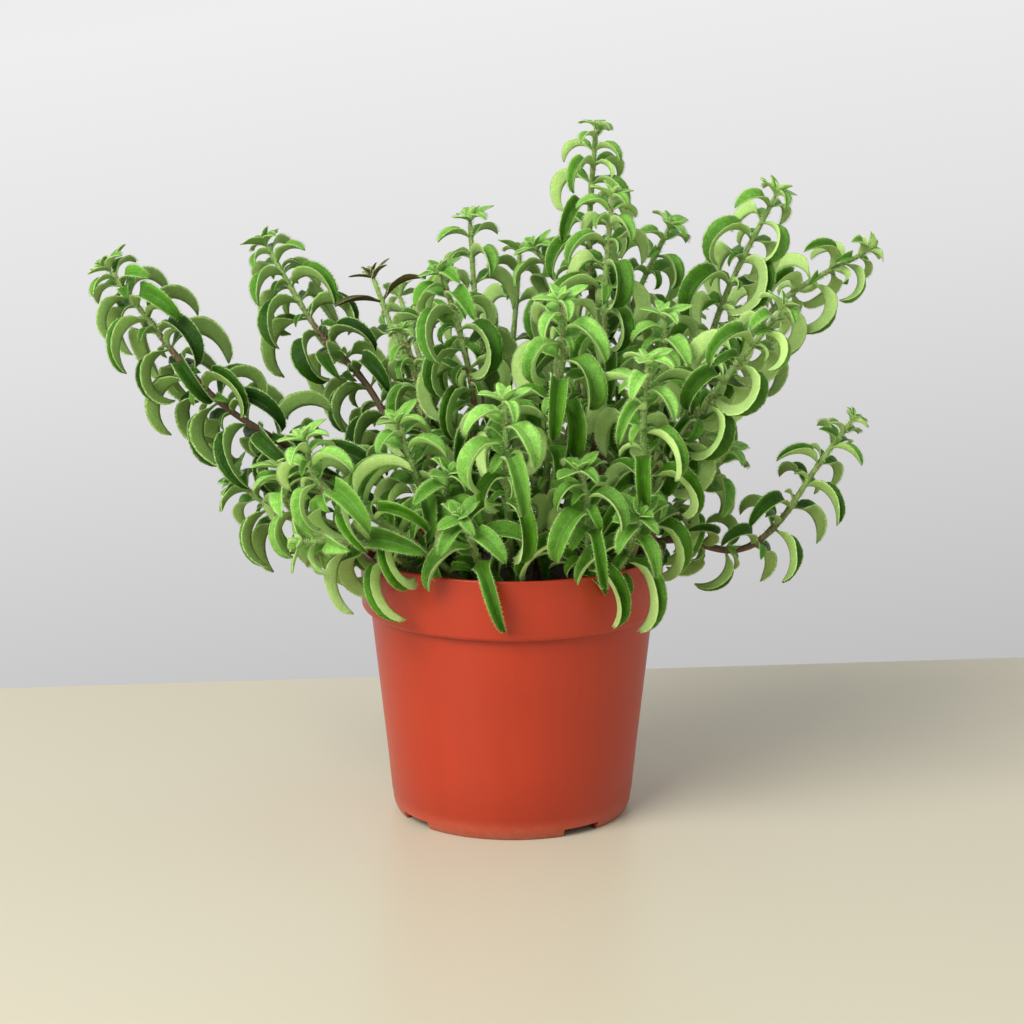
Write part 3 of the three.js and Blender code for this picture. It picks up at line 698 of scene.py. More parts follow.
class Skin(Nodes):
    """A new material's nodes, which end in one shader."""

    def __init__(self, name):
        self.material = bpy.data.materials.new(name)
        self.material.use_nodes = True
        super().__init__(self.material.node_tree)
        self.tree.nodes.clear()
        self.shader = self.new("BsdfPrincipled")
        self.new("OutputMaterial", Surface=self.shader.outputs["BSDF"])

    def set(self, **values):
        """Sets inputs of the shader, named with _ for a space."""
        for name, value in values.items():
            self.join(value, self.shader.inputs[name.replace("_", " ")])

    def places(self):
        return self.new("TexCoord").outputs["Object"]

    def along_surface(self):
        """The piece's own map: across and along."""
        node = self.new("UVMap")
        node.uv_map = SURFACE_MAP
        return self.parted(node.outputs["UV"])

    def tone(self):
        """The four numbers of the tone attribute: youth, underside, chance, and freshness with painted
        light and shade.
        """
        node = self.new("Attribute")
        node.attribute_name = TONE
        youth, under, chance = self.parted(node.outputs["Vector"])
        return youth, under, chance, node.outputs["Alpha"]

    def bump(self, height, distance, strength):
        node = self.new("Bump", Height=height, Distance=distance, Strength=strength)
        self.join(node.outputs["Normal"], self.shader.inputs["Normal"])


def plastic_material(colours):
    """Moulded plastic with a faint orange-peel skin, streaks from the mould and scuffs."""
    nodes = Skin("moulded_plastic")
    places = nodes.places()
    height = nodes.parted(places)[2]
    pot = Vector(colours.pot)
    streaks = nodes.noise(nodes.stretched(places, (1, 1, 0.08)), scale=90, detail=2)
    clouds = nodes.noise(places, scale=22)
    colour = nodes.mix(nodes.ranged(streaks, 0.3, 0.7), pot * 0.98, pot * 1.02)
    colour = nodes.mix(nodes.ranged(clouds, 0.42, 0.75, 0, 0.35), colour, pot * 0.86)
    low = nodes.ranged(height, DUST_TOP, 0.0, 0, 0.6)
    colour = nodes.mix(nodes.product(low, nodes.noise(places, scale=260, detail=4)), colour, DUST)
    scuffs = nodes.noise(nodes.stretched(places, (1, 1, 2.5)), scale=160, detail=5, roughness=0.65)
    rough = nodes.maths("MULTIPLY_ADD", nodes.ranged(scuffs, 0.62, 0.74), 0.10, 0.37)
    nodes.set(Base_Color=colour, Roughness=rough, Specular_IOR_Level=0.45)
    skin = nodes.noise(places, scale=900, detail=2)
    nodes.bump(nodes.maths("MULTIPLY_ADD", streaks, 0.1, skin), 0.00005, 0.7)
    return nodes.material


def soil_material(colours):
    """Dark peat whose crumbs differ a little in colour, by the tone attribute."""
    nodes = Skin("damp_peat")
    youth, _, chance, _ = nodes.tone()
    soil = Vector(colours.soil)
    grain = nodes.noise(nodes.places(), scale=700, detail=5, roughness=0.7)
    colour = nodes.mix(nodes.ranged(grain, 0.3, 0.7), soil * 0.5, soil * 1.7)
    colour = nodes.mix(nodes.ranged(chance, 0.55, 1.0, 0, 0.7), colour, BARK_BIT)
    colour = nodes.mix(youth, colour, PALE_BIT)
    nodes.set(Base_Color=colour, Roughness=nodes.ranged(grain, 0.2, 0.8, 0.75, 0.98))
    nodes.bump(grain, 0.0006, 0.9)
    return nodes.material


def upper_face(nodes, colours, tone, patchy, off_rib, veins):
    """Green by age and by freshness with painted light and shade, with painted shade along the rib's
    groove, lighter over veins, and painted light on the halves toward the margin.
    """
    youth, _, chance, fresh = tone
    # Freshness with painted light and shade: darker on the left stems, lighter on the low ones in front
    age = nodes.maths("MULTIPLY_ADD", chance, 0.3, nodes.maths("MULTIPLY_ADD", fresh, 0.95, -0.1))
    grown = nodes.mix(age, colours.leaf_dark, colours.leaf_mid)
    young = nodes.mix(nodes.ranged(fresh, 0.25, 1.0), colours.leaf_young, colours.leaf_bright)
    shade = nodes.product(
        patchy,
        # Painted shade in the midrib's groove: darker along the rib
        nodes.ranged(off_rib, 0.0, 0.16, 0.72, 1.0),
        nodes.ranged(veins, 0.55, 1.0, 1.0, 1.10),
        # Painted light on the blade's halves: lighter toward the margin
        nodes.ranged(off_rib, 0.3, 0.95, 0.96, 1.18),
    )
    return nodes.shaded(nodes.mix(youth, grown, young), shade)


def lower_face(nodes, colours, tone, patchy, off_rib, along):
    """Pale, more so on stems with more freshness and painted light, and darker along the rib and toward
    the leaf's tip.
    """
    youth, _, chance, fresh = tone
    age = nodes.ranged(fresh, 0, 1, 0.75, 0)
    pale = nodes.mix(age, colours.leaf_under, colours.leaf_under_old)
    pale = nodes.mix(nodes.product(youth, 0.35), pale, colours.margin)
    shade = nodes.product(
        nodes.ranged(off_rib, 0.03, 0.09, 0.62, 1.0),
        nodes.maths("MULTIPLY_ADD", patchy, 0.45, 0.55),
        nodes.ranged(chance, 0, 1, 0.72, 1.12),
        nodes.ranged(along, 0.5, 1.0, 1.0, 0.7),
    )
    return nodes.shaded(pale, shade)


def leaf_material(colours):
    """Fleshy leaf skin: satin green above, matte and pale below, pale along the margin."""
    nodes = Skin("leaf_skin")
    places = nodes.places()
    across, along, _ = nodes.along_surface()
    tone = nodes.tone()
    _, under, _, fresh = tone
    off_rib = nodes.maths("ABSOLUTE", across)
    patches = nodes.noise(places, scale=230)
    down = nodes.noise(places, scale=1300, roughness=0.75)
    patchy = nodes.product(
        nodes.ranged(patches, 0.3, 0.75, 0.9, 1.12), nodes.ranged(down, 0.3, 0.7, 0.78, 1.25)
    )
    vein_place = nodes.maths("MULTIPLY_ADD", off_rib, -VEIN_SLANT, along)
    veins = nodes.maths("SINE", nodes.product(vein_place, VEIN_PAIRS * 2 * math.pi))
    upper = upper_face(nodes, colours, tone, patchy, off_rib, veins)
    lower = lower_face(nodes, colours, tone, patchy, off_rib, along)
    colour = nodes.mix(under, upper, lower)

    broken = nodes.ranged(nodes.noise(places, scale=900, detail=2), 0.4, 0.58, 0.3, 1)
    rim = nodes.product(nodes.ranged(off_rib, 0.90, 0.98, 0, 0.9), broken)
    colour = nodes.mix(rim, colour, colours.margin)
    stalk = nodes.ranged(along, 0.16, 0.06, 0, 0.75)
    colour = nodes.mix(stalk, colour, colours.stem_young)
    dried = nodes.ranged(nodes.maths("MULTIPLY_ADD", patches, 0.4, fresh), -0.5, 0.1, 1, 0)
    colour = nodes.mix(dried, colour, colours.dry)

    rough = nodes.maths("MULTIPLY_ADD", under, 0.22, nodes.ranged(patches, 0.3, 0.8, 0.34, 0.46))
    nodes.set(
        Base_Color=colour, Roughness=rough, Specular_IOR_Level=0.15,
        Subsurface_Weight=0.15, Subsurface_Scale=0.0016, Subsurface_Radius=(0.5, 1.0, 0.2),
        Sheen_Weight=0.12, Sheen_Roughness=0.3, Sheen_Tint=(0.75, 1.0, 0.45),
    )
    cells = nodes.noise(places, scale=1500, detail=2)
    height = nodes.product(nodes.ranged(off_rib, 0.0, 0.22), 0.5)
    height = nodes.maths("MULTIPLY_ADD", cells, 2.2, height)
    height = nodes.maths("MULTIPLY_ADD", patches, 0.8, height)
    height = nodes.maths("MULTIPLY_ADD", veins, -0.05, height)
    nodes.bump(height, 0.00025, 0.9)
    return nodes.material


def bark_material(colours):
    """Stem skin: woody and brown at the foot, green toward the tip, flushed red on some stems."""
    nodes = Skin("stem_bark")
    places = nodes.places()
    youth, _, chance, spots = nodes.tone()
    lines = nodes.noise(nodes.stretched(places, (1, 1, 0.3)), scale=900)
    patches = nodes.noise(places, scale=120)
    blend = nodes.maths("ADD", youth, nodes.maths("MULTIPLY_ADD", patches, 0.5, -0.25))
    colour = nodes.mix(nodes.ranged(blend, 0.15, 0.95), colours.stem_old, colours.stem_young)
    flush = nodes.ranged(nodes.noise(places, scale=420), 0.5, 0.62)
    flush = nodes.product(flush, nodes.maths("MULTIPLY_ADD", spots, 0.45, 0.45))
    colour = nodes.mix(flush, colour, colours.stem_red)
    colour = nodes.shaded(colour, nodes.ranged(lines, 0.3, 0.7, 0.75, 1.2))
    nodes.set(Base_Color=colour, Roughness=nodes.maths("MULTIPLY_ADD", chance, 0.15, 0.5))
    nodes.bump(lines, 0.0003, 0.8)
    return nodes.material


def hair_material(colours):
    """Short pale hairs, a little darker toward the root."""
    nodes = Skin("plant_hair")
    along = nodes.along_surface()[1]
    colour = nodes.mix(along, Vector(colours.hair) * 0.6, colours.hair)
    nodes.set(Base_Color=colour, Roughness=0.55, Specular_IOR_Level=0.3)
    return nodes.material


def table_material(colours):
    """Plain satin board with a hardly visible cloud in it."""
    nodes = Skin("table_top")
    cloud = nodes.noise(nodes.places(), scale=3, detail=2)
    floor = Vector(colours.floor)
    nodes.set(
        Base_Color=nodes.mix(cloud, floor * 0.985, floor * 1.015),
        Roughness=nodes.ranged(cloud, 0.2, 0.8, 0.34, 0.40),
        Specular_IOR_Level=0.35,
    )
    return nodes.material


def finished(name, bm, materials, slot=None, replaces=()):
    """Makes a bmesh the mesh of a new piece. With a slot it rides on the plant's one body."""
    mesh = bpy.data.meshes.new(name)
    bm.to_mesh(mesh)
    bm.free()
    for material in materials:
        mesh.materials.append(material)
    piece = bpy.data.objects.new(name, mesh)
    bpy.context.scene.collection.objects.link(piece)
    if slot:
        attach(piece, "root")
        if replaces:
            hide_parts(*replaces)
    return piece


# The pot: angles in degrees, heights and radii in millimetres
POT_STEPS = 144
GAP_MIDDLE_DEG = -144.5
GAP_HALF_DEG = 10
SLOT_HALF_DEG = 7.5
QUARTER_DEG = 90
FOOT_INNER = 57
FOOT_OUTER = 58.5
FOOT_TOP = 4
WALL_FOOT = 60
WALL_TOP = 70.8
WALL_THICKNESS = 1.2
BAND_BOTTOM = 104
BAND_RADIUS = 75.2
RIM_WALL = 2
PLATE_TOP = 5.2
DRAIN_RADIUS = 6
SLOT_INNER = 46
SLOT_OUTER = 55
LEVEL_WITHIN = 0.05
SHARP_DEG = 35


def arc(middle, radius, start_deg, end_deg, steps):
    """Points of a round corner in a profile of radius and height."""
    points = []
    for i in range(steps + 1):
        angle = math.radians(mixed(start_deg, end_deg, i / steps))
        points.append((middle[0] + radius * math.cos(angle), middle[1] + radius * math.sin(angle)))
    return points


def spun(bm, profile, start_deg, steps, closed):
    """Spins a profile of radius and height, in millimetres, into a shell round the pot's axis."""
    start = Matrix.Rotation(math.radians(start_deg), 4, "Z")
    verts = [bm.verts.new(in_frame(start @ Vector((radius, 0, height)))) for radius, height in profile]
    edges = [bm.edges.new(pair) for pair in zip(verts, verts[1:])]
    if closed:
        edges.append(bm.edges.new((verts[-1], verts[0])))
    bmesh.ops.spin(
        bm, geom=verts + edges, cent=POT_AXIS, axis=(0, 0, 1), angle=2 * math.pi, steps=steps,
        use_merge=True, use_duplicate=False,
    )
    bmesh.ops.remove_doubles(bm, verts=bm.verts, dist=JOINED_WITHIN)
    bmesh.ops.recalc_face_normals(bm, faces=bm.faces)


def past_gap(point):
    """Degrees round the pot's axis, counted from half a quarter before a foot gap's middle."""
    angle = math.degrees(math.atan2(point.y - POT_AXIS.y, point.x - POT_AXIS.x))
    return angle - GAP_MIDDLE_DEG + QUARTER_DEG / 2


def faces_by_gaps(bm, half_deg):
    """Faces within so many degrees of a foot gap's middle, each with its radius and height."""
    found = []
    for face in bm.faces:
        middle = face.calc_center_median()
        if abs(past_gap(middle) % QUARTER_DEG - QUARTER_DEG / 2) < half_deg:
            found.append((face, (middle - POT_AXIS).xy.length / MM, middle.z / MM))
    return found


def pot_profile(rim, height):
    """The wall's section from the drain hole out under the plate, up the wall and back inside."""
    inner_rim = rim - RIM_WALL
    foot = [
        (DRAIN_RADIUS, FOOT_TOP),
        (SLOT_INNER, FOOT_TOP),
        (SLOT_OUTER, FOOT_TOP),
        (FOOT_INNER, FOOT_TOP),
        (FOOT_INNER, 0.35),
        (FOOT_INNER + 0.3, 0),
        (FOOT_OUTER - 0.7, 0),
        (FOOT_OUTER - 0.15, 0.35),
        (FOOT_OUTER + 0.2, 1.1),
        (WALL_FOOT - 0.6, 2.6),
    ]
    wall = [
        (WALL_FOOT, FOOT_TOP),
        (WALL_FOOT + 0.35, 6.2),
        (WALL_FOOT + 0.62, 9.6),
        (WALL_FOOT + 0.95, 10.2),
        (mixed(WALL_FOOT, WALL_TOP, 0.3), mixed(FOOT_TOP, BAND_BOTTOM, 0.3)),
        (mixed(WALL_FOOT, WALL_TOP, 0.65), mixed(FOOT_TOP, BAND_BOTTOM, 0.65)),
        (WALL_TOP - 0.2, BAND_BOTTOM - 2),
    ]
    band = [
        *arc((WALL_TOP + 0.7, BAND_BOTTOM - 0.4), 0.8, 180, 95, 3),
        *arc((BAND_RADIUS - 3.2, BAND_BOTTOM + 3.7), 3.3, 278, 352, 6),
        (mixed(BAND_RADIUS, rim, 0.5), mixed(BAND_BOTTOM + 6, height, 0.5)),
        (rim - 0.12, height - 1.6),
        *arc((rim - 0.6, height - 0.6), 0.6, 0, 90, 4),
    ]
    inside = [
        *arc((inner_rim + 0.5, height - 0.5), 0.5, 90, 180, 3),
        (inner_rim, BAND_BOTTOM + 9),
        (inner_rim - 0.4, BAND_BOTTOM + 7),
        (WALL_TOP - WALL_THICKNESS, BAND_BOTTOM + 2),
        (WALL_FOOT - WALL_THICKNESS, PLATE_TOP),
        (SLOT_OUTER, PLATE_TOP),
        (SLOT_INNER, PLATE_TOP),
        (DRAIN_RADIUS, PLATE_TOP),
    ]
    return foot + wall + band + inside


def boundary(bm):
    return [edge for edge in bm.edges if edge.is_boundary]


def quarter_of(edge):
    middle = (edge.verts[0].co + edge.verts[1].co) / 2
    return int((past_gap(middle) % 360) // QUARTER_DEG)


def bridge_quarters(bm, edges):
    """Walls an opening in each quarter of the pot between the two rings of its edges."""
    for quarter in range(4):
        bmesh.ops.bridge_loops(bm, edges=[edge for edge in edges if quarter_of(edge) == quarter])


def cut_slots(bm):
    """Opens the plate's drainage slots behind the gaps of the foot and walls them."""
    doomed = []
    for face, radius, height in faces_by_gaps(bm, SLOT_HALF_DEG):
        flat = height < PLATE_TOP + 0.1 and abs(face.normal.z) > 0.9
        if flat and SLOT_INNER < radius < SLOT_OUTER:
            doomed.append(face)
    bmesh.ops.delete(bm, geom=doomed, context="FACES")
    bridge_quarters(bm, boundary(bm))


def cut_foot_gaps(bm):
    """Cuts the four gaps in the foot ring up to the plate's underside and closes their faces."""
    doomed = []
    for face, radius, height in faces_by_gaps(bm, GAP_HALF_DEG):
        if height < FOOT_TOP - LEVEL_WITHIN and radius > FOOT_INNER - 0.2:
            doomed.append(face)
    bmesh.ops.delete(bm, geom=doomed, context="FACES")
    arcs = []
    for edge in boundary(bm):
        low, high = edge.verts
        level = abs(low.co.z - high.co.z) < JOINED_WITHIN
        if level and low.co.z / MM > FOOT_TOP - LEVEL_WITHIN:
            arcs.append(edge)
    bridge_quarters(bm, arcs)
    bmesh.ops.holes_fill(bm, edges=boundary(bm), sides=0)
    bmesh.ops.recalc_face_normals(bm, faces=bm.faces)


def soften(bm):
    """Shades smooth, with sharp edges past an angle."""
    for face in bm.faces:
        face.smooth = True
    for edge in bm.edges:
        edge.smooth = edge.calc_face_angle(0) < math.radians(SHARP_DEG)


class PLANT_OT_pot(bpy.types.Operator):
    """Makes the moulded pot with its rim band, foot gaps and drainage slots"""

    bl_idname = "plant.pot"
    bl_label = "Pot"

    def execute(self, context):
        sizes = context.scene.plant_sizes
        bm = bmesh.new()
        profile = pot_profile(sizes.rim_radius / MM, sizes.pot_height / MM)
        spun(bm, profile, GAP_MIDDLE_DEG - GAP_HALF_DEG, POT_STEPS, True)
        cut_slots(bm)
        cut_foot_gaps(bm)
        soften(bm)
        material = plastic_material(context.scene.plant_colours)
        finished("pot_shell", bm, [material], "pot_plastic", ["pot"])
        return {"FINISHED"}


# The peat: sizes in millimetres, and its own numbers for the fixed draws
SOIL_STEPS = 72
SOIL_RINGS = 16
SOIL_MOUND = 3
SOIL_GAP = 0.3
SOIL_SPAN = 74
SOIL_SUNK = 0.6
BROAD_WAVE = (1.6, 14)
FINE_WAVE = (0.8, 5)
CRUMBS = 620
CRUMB_DRAWS = 90
CRUMB_MARGIN = 3
PALE_FROM = 0.93
CRUMB_SIZES = (0.45, 1.25)
CRUMB_FLATNESSES = (0.35, 0.9)
CRUMB_LENGTHS = (1.0, 2.4)
CRUMB_TILT_SPREAD = 0.5
CRUMB_GRAIN = 0.6
CRUMB_JOLT = 0.25
(
    CRUMB_RADIUS, CRUMB_ANGLE, CRUMB_SIZE, CRUMB_FLAT, CRUMB_LONG,
    CRUMB_TURN, CRUMB_TILT, CRUMB_PALE, CRUMB_CHANCE,
) = range(9)


def soil_top(x, y, edge_height):
    """Height of the peat at a place, in millimetres."""
    share = min(1, math.hypot(x, y) / SOIL_SPAN)
    waves = 0
    for (height, width), layer in ((BROAD_WAVE, 0), (FINE_WAVE, 3)):
        waves += height * noise.noise(Vector((x / width, y / width, layer)))
    return edge_height + SOIL_MOUND * (1 - share * share) + waves * (1 - share**6) - SOIL_SUNK


def soil_profile(band_radius, edge_height):
    """The peat's section, from its middle below out to the wall, up and back to its middle."""
    wall_gap = WALL_THICKNESS + SOIL_GAP
    profile = [
        (0, PLATE_TOP + SOIL_GAP),
        (WALL_FOOT - wall_gap, PLATE_TOP + SOIL_GAP),
        (WALL_TOP - wall_gap, BAND_BOTTOM + 2),
        (band_radius - 0.3, BAND_BOTTOM + 8),
        (band_radius - 0.3, edge_height - 1),
    ]
    for i in range(SOIL_RINGS + 1):
        profile.append((band_radius * (1 - i / SOIL_RINGS), edge_height))
    return profile


def add_crumb(bm, tone, number, reach, edge_height, mean_size):
    """Drops one jagged crumb on the peat, within a reach of the pot's axis."""
    def drawn(kind):
        return draw(CRUMB_DRAWS, number, kind)

    radius = reach * math.sqrt(drawn(CRUMB_RADIUS))
    angle = 2 * math.pi * drawn(CRUMB_ANGLE)
    x = radius * math.cos(angle)
    y = radius * math.sin(angle)
    size = mean_size * mixed(*CRUMB_SIZES, drawn(CRUMB_SIZE) ** 2)
    flat = mixed(*CRUMB_FLATNESSES, drawn(CRUMB_FLAT))
    long = mixed(*CRUMB_LENGTHS, drawn(CRUMB_LONG) ** 3)
    place = Matrix.Translation(in_frame(Vector((x, y, soil_top(x, y, edge_height)))))
    place @= Matrix.Rotation(2 * math.pi * drawn(CRUMB_TURN), 4, "Z")
    place @= Matrix.Rotation(spread(CRUMB_DRAWS, number, CRUMB_TILT, CRUMB_TILT_SPREAD), 4, "X")
    place @= Matrix.Diagonal((size * long / 2, size / 2, size * flat / 2, 1))
    made = bmesh.ops.create_icosphere(bm, subdivisions=1, radius=1, matrix=place)
    for vert in made["verts"]:
        jolt = noise.noise_vector(vert.co / (CRUMB_GRAIN * mean_size))
        vert.co += jolt * size * CRUMB_JOLT
        pale = 1.0 if drawn(CRUMB_PALE) > PALE_FROM else 0.0
        vert[tone] = (pale, 0, drawn(CRUMB_CHANCE), 0)


class PLANT_OT_soil(bpy.types.Operator):
    """Makes the peat that fills the pot, with crumbs and bits of bark on top"""

    bl_idname = "plant.soil"
    bl_label = "Soil"

    def execute(self, context):
        sizes = context.scene.plant_sizes
        edge_height = sizes.soil_height / MM
        band_radius = sizes.rim_radius / MM - RIM_WALL - SOIL_GAP
        bm = bmesh.new()
        spun(bm, soil_profile(band_radius, edge_height), 0, SOIL_STEPS, False)
        tone = bm.verts.layers.float_color.new(TONE)
        for vert in bm.verts:
            if vert.co.z > sizes.soil_height - 0.0001:
                x, y = (vert.co - POT_AXIS).xy / MM
                vert.co.z = soil_top(x, y, edge_height) * MM
            vert[tone] = (0, 0, 0.3, 0)
        for number in range(CRUMBS):
            add_crumb(bm, tone, number, band_radius - CRUMB_MARGIN, edge_height, sizes.crumb_size)
        for face in bm.faces:
            face.smooth = True
        material = soil_material(context.scene.plant_colours)
        finished("peat", bm, [material], "soil", ["soil"])
        return {"FINISHED"}


# The grid of each blank sheet that is bent into a leaf or rolled into a stem
LEAF_COLUMNS = 6
LEAF_ROWS = 12
SMALL_LEAF_COLUMNS = 4
SMALL_LEAF_ROWS = 7
STEM_COLUMNS = 8
STEM_ROWS = 46

# A leaf's outline, and its section in shares of its thickness
BLADE_FULL_PLACE = 0.46
BLADE_FOOT_POWER = 0.6
BLADE_TIP_POWER = 0.78
STALK_HALF_WIDTH = 0.95
TIP_HALF_WIDTH = 0.12
BLADE_ABOVE = 0.5
BLADE_BELOW = 0.55
GROOVE_ABOVE = 0.35
GROOVE_BELOW = 0.12
GROOVE_WIDTH = 0.3
LOBE_POWER = 2.2
STALK_ABOVE = 0.45
STALK_BELOW = 0.55
FOLD_POWER = 0.4
WAVES_ALONG = 2.3
THIN_TIP_SHARE = 0.35
SMALL_MARGIN_SHARE = 0.7

# A stem below the soil, at the leaves' nodes, along its bark and at its tip
STEM_BELOW = 14
NODE_SWELL = 0.2
NODE_REACH = 1.6
BARK_SWELL = 0.12
BARK_WAVE = 5
TIP_TAPER = 0.6
TIP_TAPER_LENGTH = 2.5


def blank_sheet(columns, rows, two_faces):
    """A flat sheet from -1 to 1 across and 0 to 1 along, as wide map and places alike. With two
    faces it is closed round its rim, its upper face at height 0 and its lower one at -1."""
    bm = bmesh.new()
    along = Matrix.Translation((0, 0.5, 0)) @ Matrix.Diagonal((1, 0.5, 1, 1))
    bmesh.ops.create_grid(bm, x_segments=columns, y_segments=rows, size=1, matrix=along)
    if two_faces:
        bmesh.ops.solidify(bm, geom=bm.faces, thickness=1)
        lowest = min(vert.co.z for vert in bm.verts)
        highest = max(vert.co.z for vert in bm.verts)
        for vert in bm.verts:
            vert.co.z = (vert.co.z - highest) / (highest - lowest)
    surface = bm.loops.layers.uv.new(SURFACE_MAP)
    bm.verts.layers.float_color.new(TONE)
    for face in bm.faces:
        face.smooth = True
        for loop in face.loops:
            loop[surface].uv = loop.vert.co.xy
    mesh = bpy.data.meshes.new("blank")
    bmesh.ops.recalc_face_normals(bm, faces=bm.faces)
    bm.to_mesh(mesh)
    bm.free()
    return mesh


def add_blank(bm, blank):
    """Copies a blank into a bmesh and returns the new vertices."""
    start = len(bm.verts)
    bm.from_mesh(blank)
    bm.verts.ensure_lookup_table()
    return bm.verts[start:]


def half_width(length, v, full_width):
    """Half of the leaf's width at a share of its length, in millimetres."""
    x = (v - STALK_SHARE) / (1 - STALK_SHARE)
    if x <= 0:
        return STALK_HALF_WIDTH
    full = BLADE_FULL_PLACE**BLADE_FOOT_POWER * (1 - BLADE_FULL_PLACE) ** BLADE_TIP_POWER
    blade = x**BLADE_FOOT_POWER * (1 - x) ** BLADE_TIP_POWER / full
    least = mixed(STALK_HALF_WIDTH, TIP_HALF_WIDTH, smooth(0, 0.4, x))
    return max(least, length * WIDTH_OF_LENGTH * blade * full_width)


def thickness(length, v):
    return min(1, THIN_SHARE + length / THICK_LENGTH) * (STALK_THICKNESS - THICKNESS_TAPER * v)


def leaf_surface(leaf, u, v, lower, margin):
    """A point of the leaf's upper or lower face, at u from -1 to 1 across and v along."""
    point, _, edge, upper = leaf.at(v)
    reach = abs(u) * half_width(leaf.length, v, leaf.full_width)
    thick = thickness(leaf.length, v) * mixed(1, THIN_TIP_SHARE, smooth(0.9, 1, v))
    in_blade = smooth(STALK_SHARE * 0.6, STALK_SHARE * 2, v)
    fold = math.radians(leaf.fold_deg) * smooth(FOLD_START, FOLD_FULL, v)
    wave = leaf.wave * math.sin(2 * math.pi * (WAVES_ALONG * v + leaf.phase)) * u * smooth(0.2, 0.5, v)
    rise = reach * math.sin(fold) * abs(u) ** FOLD_POWER + wave
    lobes = 1 - abs(u) ** LOBE_POWER
    groove = math.exp(-(u / GROOVE_WIDTH) ** 2)
    if lower:
        blade_height = rise - BLADE_BELOW * thick * lobes - GROOVE_BELOW * thick * groove
        stalk_height = -STALK_BELOW * thick * math.sqrt(1 - u * u)
    else:
        blade_height = rise + margin + BLADE_ABOVE * thick * lobes - GROOVE_ABOVE * thick * groove
        stalk_height = STALK_ABOVE * thick * math.sqrt(1 - u * u)
    height = mixed(stalk_height, blade_height, in_blade)
    out = math.copysign(reach * mixed(1, math.cos(fold), in_blade), u)
    return point + edge * out + upper * height


def add_leaf(bm, tone, blank, leaf, margin):
    """Bends a leaf blank along a leaf's line."""
    for vert in add_blank(bm, blank):
        u, v, level = vert.co
        lower = level < -0.5
        vert.co = kept_in(in_frame(leaf_surface(leaf, u, v, lower, margin)))
        vert[tone] = (leaf.youth, 1.0 if lower else 0.0, leaf.chance, leaf.fresh)


def bark_youth(index, line, length):
    """How green the bark is at a length along the stem. The green reaches lower on stems with more
    freshness and painted light.
    """
    fresh = STEMS[index][5]
    return 1 - smooth(10 + 20 * fresh, 60 + 140 * fresh, line.total - length)


def leaf_place(leaf, line):
    """The length along the stem at which a leaf stands."""
    nearest = min(range(STEM_STEPS + 1), key=lambda i: (line.points[i] - leaf.points[0]).length)
    return line.lengths[nearest]


def stem_tube(blank, index, line, leaves):
    """Rolls a blank into the stem's closed tube, a little thicker where leaves stand."""
    bm = bmesh.new()
    bm.from_mesh(blank)
    tone = bm.verts.layers.float_color[TONE]
    nodes = sorted({round(leaf_place(leaf, line), 1) for leaf in leaves})
    for vert in bm.verts:
        u, v, _ = vert.co
        length = v * (line.total + STEM_BELOW) - STEM_BELOW
        share = max(0, length) / line.total
        point, tangent, normal = line.at(max(0, length))
        if length < 0:
            point = point + UP * length
            tangent = UP
            normal = FRONT
        across = tangent.cross(normal)
        radius = stem_radius(share)
        radius *= 1 + NODE_SWELL * sum(math.exp(-((length - node) / NODE_REACH) ** 2) for node in nodes)
        radius *= 1 + BARK_SWELL * noise.noise(Vector((index, length / BARK_WAVE, 0)))
        radius *= 1 - TIP_TAPER * smooth(line.total - TIP_TAPER_LENGTH, line.total, length)
        angle = math.pi * (u + 1)
        spot = point + normal * (radius * math.cos(angle)) + across * (radius * math.sin(angle))
        vert.co = in_frame(spot)
        vert[tone] = (bark_youth(index, line, length), 0, draw(index, 0, BARK), index in SPOTTED)
    bmesh.ops.remove_doubles(bm, verts=bm.verts, dist=STEM_JOINED_WITHIN)
    bmesh.ops.holes_fill(bm, edges=boundary(bm), sides=0)
    bmesh.ops.recalc_face_normals(bm, faces=bm.faces)
    for face in bm.faces:
        face.material_index = 1
        face.smooth = True
    mesh = bpy.data.meshes.new("stem_tube")
    bm.to_mesh(mesh)
    bm.free()
    return mesh


class PLANT_OT_shoots(bpy.types.Operator):
    """Makes each leafy stem, with its bark, its curled leaves and its bud"""

    bl_idname = "plant.shoots"
    bl_label = "Leafy stems"

    def execute(self, context):
        colours = context.scene.plant_colours
        margin = context.scene.plant_sizes.margin_thickness / MM
        materials = [leaf_material(colours), bark_material(colours)]
        leaf_blank = blank_sheet(LEAF_COLUMNS, LEAF_ROWS, True)
        stem_blank = blank_sheet(STEM_COLUMNS, STEM_ROWS, False)
        small_blank = blank_sheet(SMALL_LEAF_COLUMNS, SMALL_LEAF_ROWS, True)
        for index, (line, leaves, small_leaves) in enumerate(PLANTS):
            bm = bmesh.new()
            bm.from_mesh(stem_tube(stem_blank, index, line, leaves))
            tone = bm.verts.layers.float_color[TONE]
            for leaf in leaves:
                add_leaf(bm, tone, leaf_blank, leaf, margin)
            for leaf in small_leaves:
                add_leaf(bm, tone, small_blank, leaf, margin * SMALL_MARGIN_SHARE)
            name = stem_name(index)
            finished(name.replace("leafy_stem", "shoot"), bm, materials, "foliage", [name])
        return {"FINISHED"}


# The hairs: how many, how they lean, and their own numbers for the fixed draws
HAIR_SIDES = 3
HAIRS_ALONG = 42
HAIRS_ALONG_SMALL = 14
HAIR_LEAN = 0.45
HAIR_BLANK_WIDTH = 0.0042
HAIR_PLACE_DRAWS = 91
HAIR_REACH_DRAWS = 92
SMALL_HAIR_SHARE = 0.8
STEM_HAIRS = 380
STEM_HAIR_REACH = 75
STEM_HAIR_SHADE = 0.7


def add_cone(bm, radius, length, place):
    """Adds one open-ended hair and returns its vertices."""
    made = bmesh.ops.create_cone(
        bm, segments=HAIR_SIDES, radius1=radius, radius2=0, depth=length, cap_ends=False, matrix=place
    )
    return made["verts"]


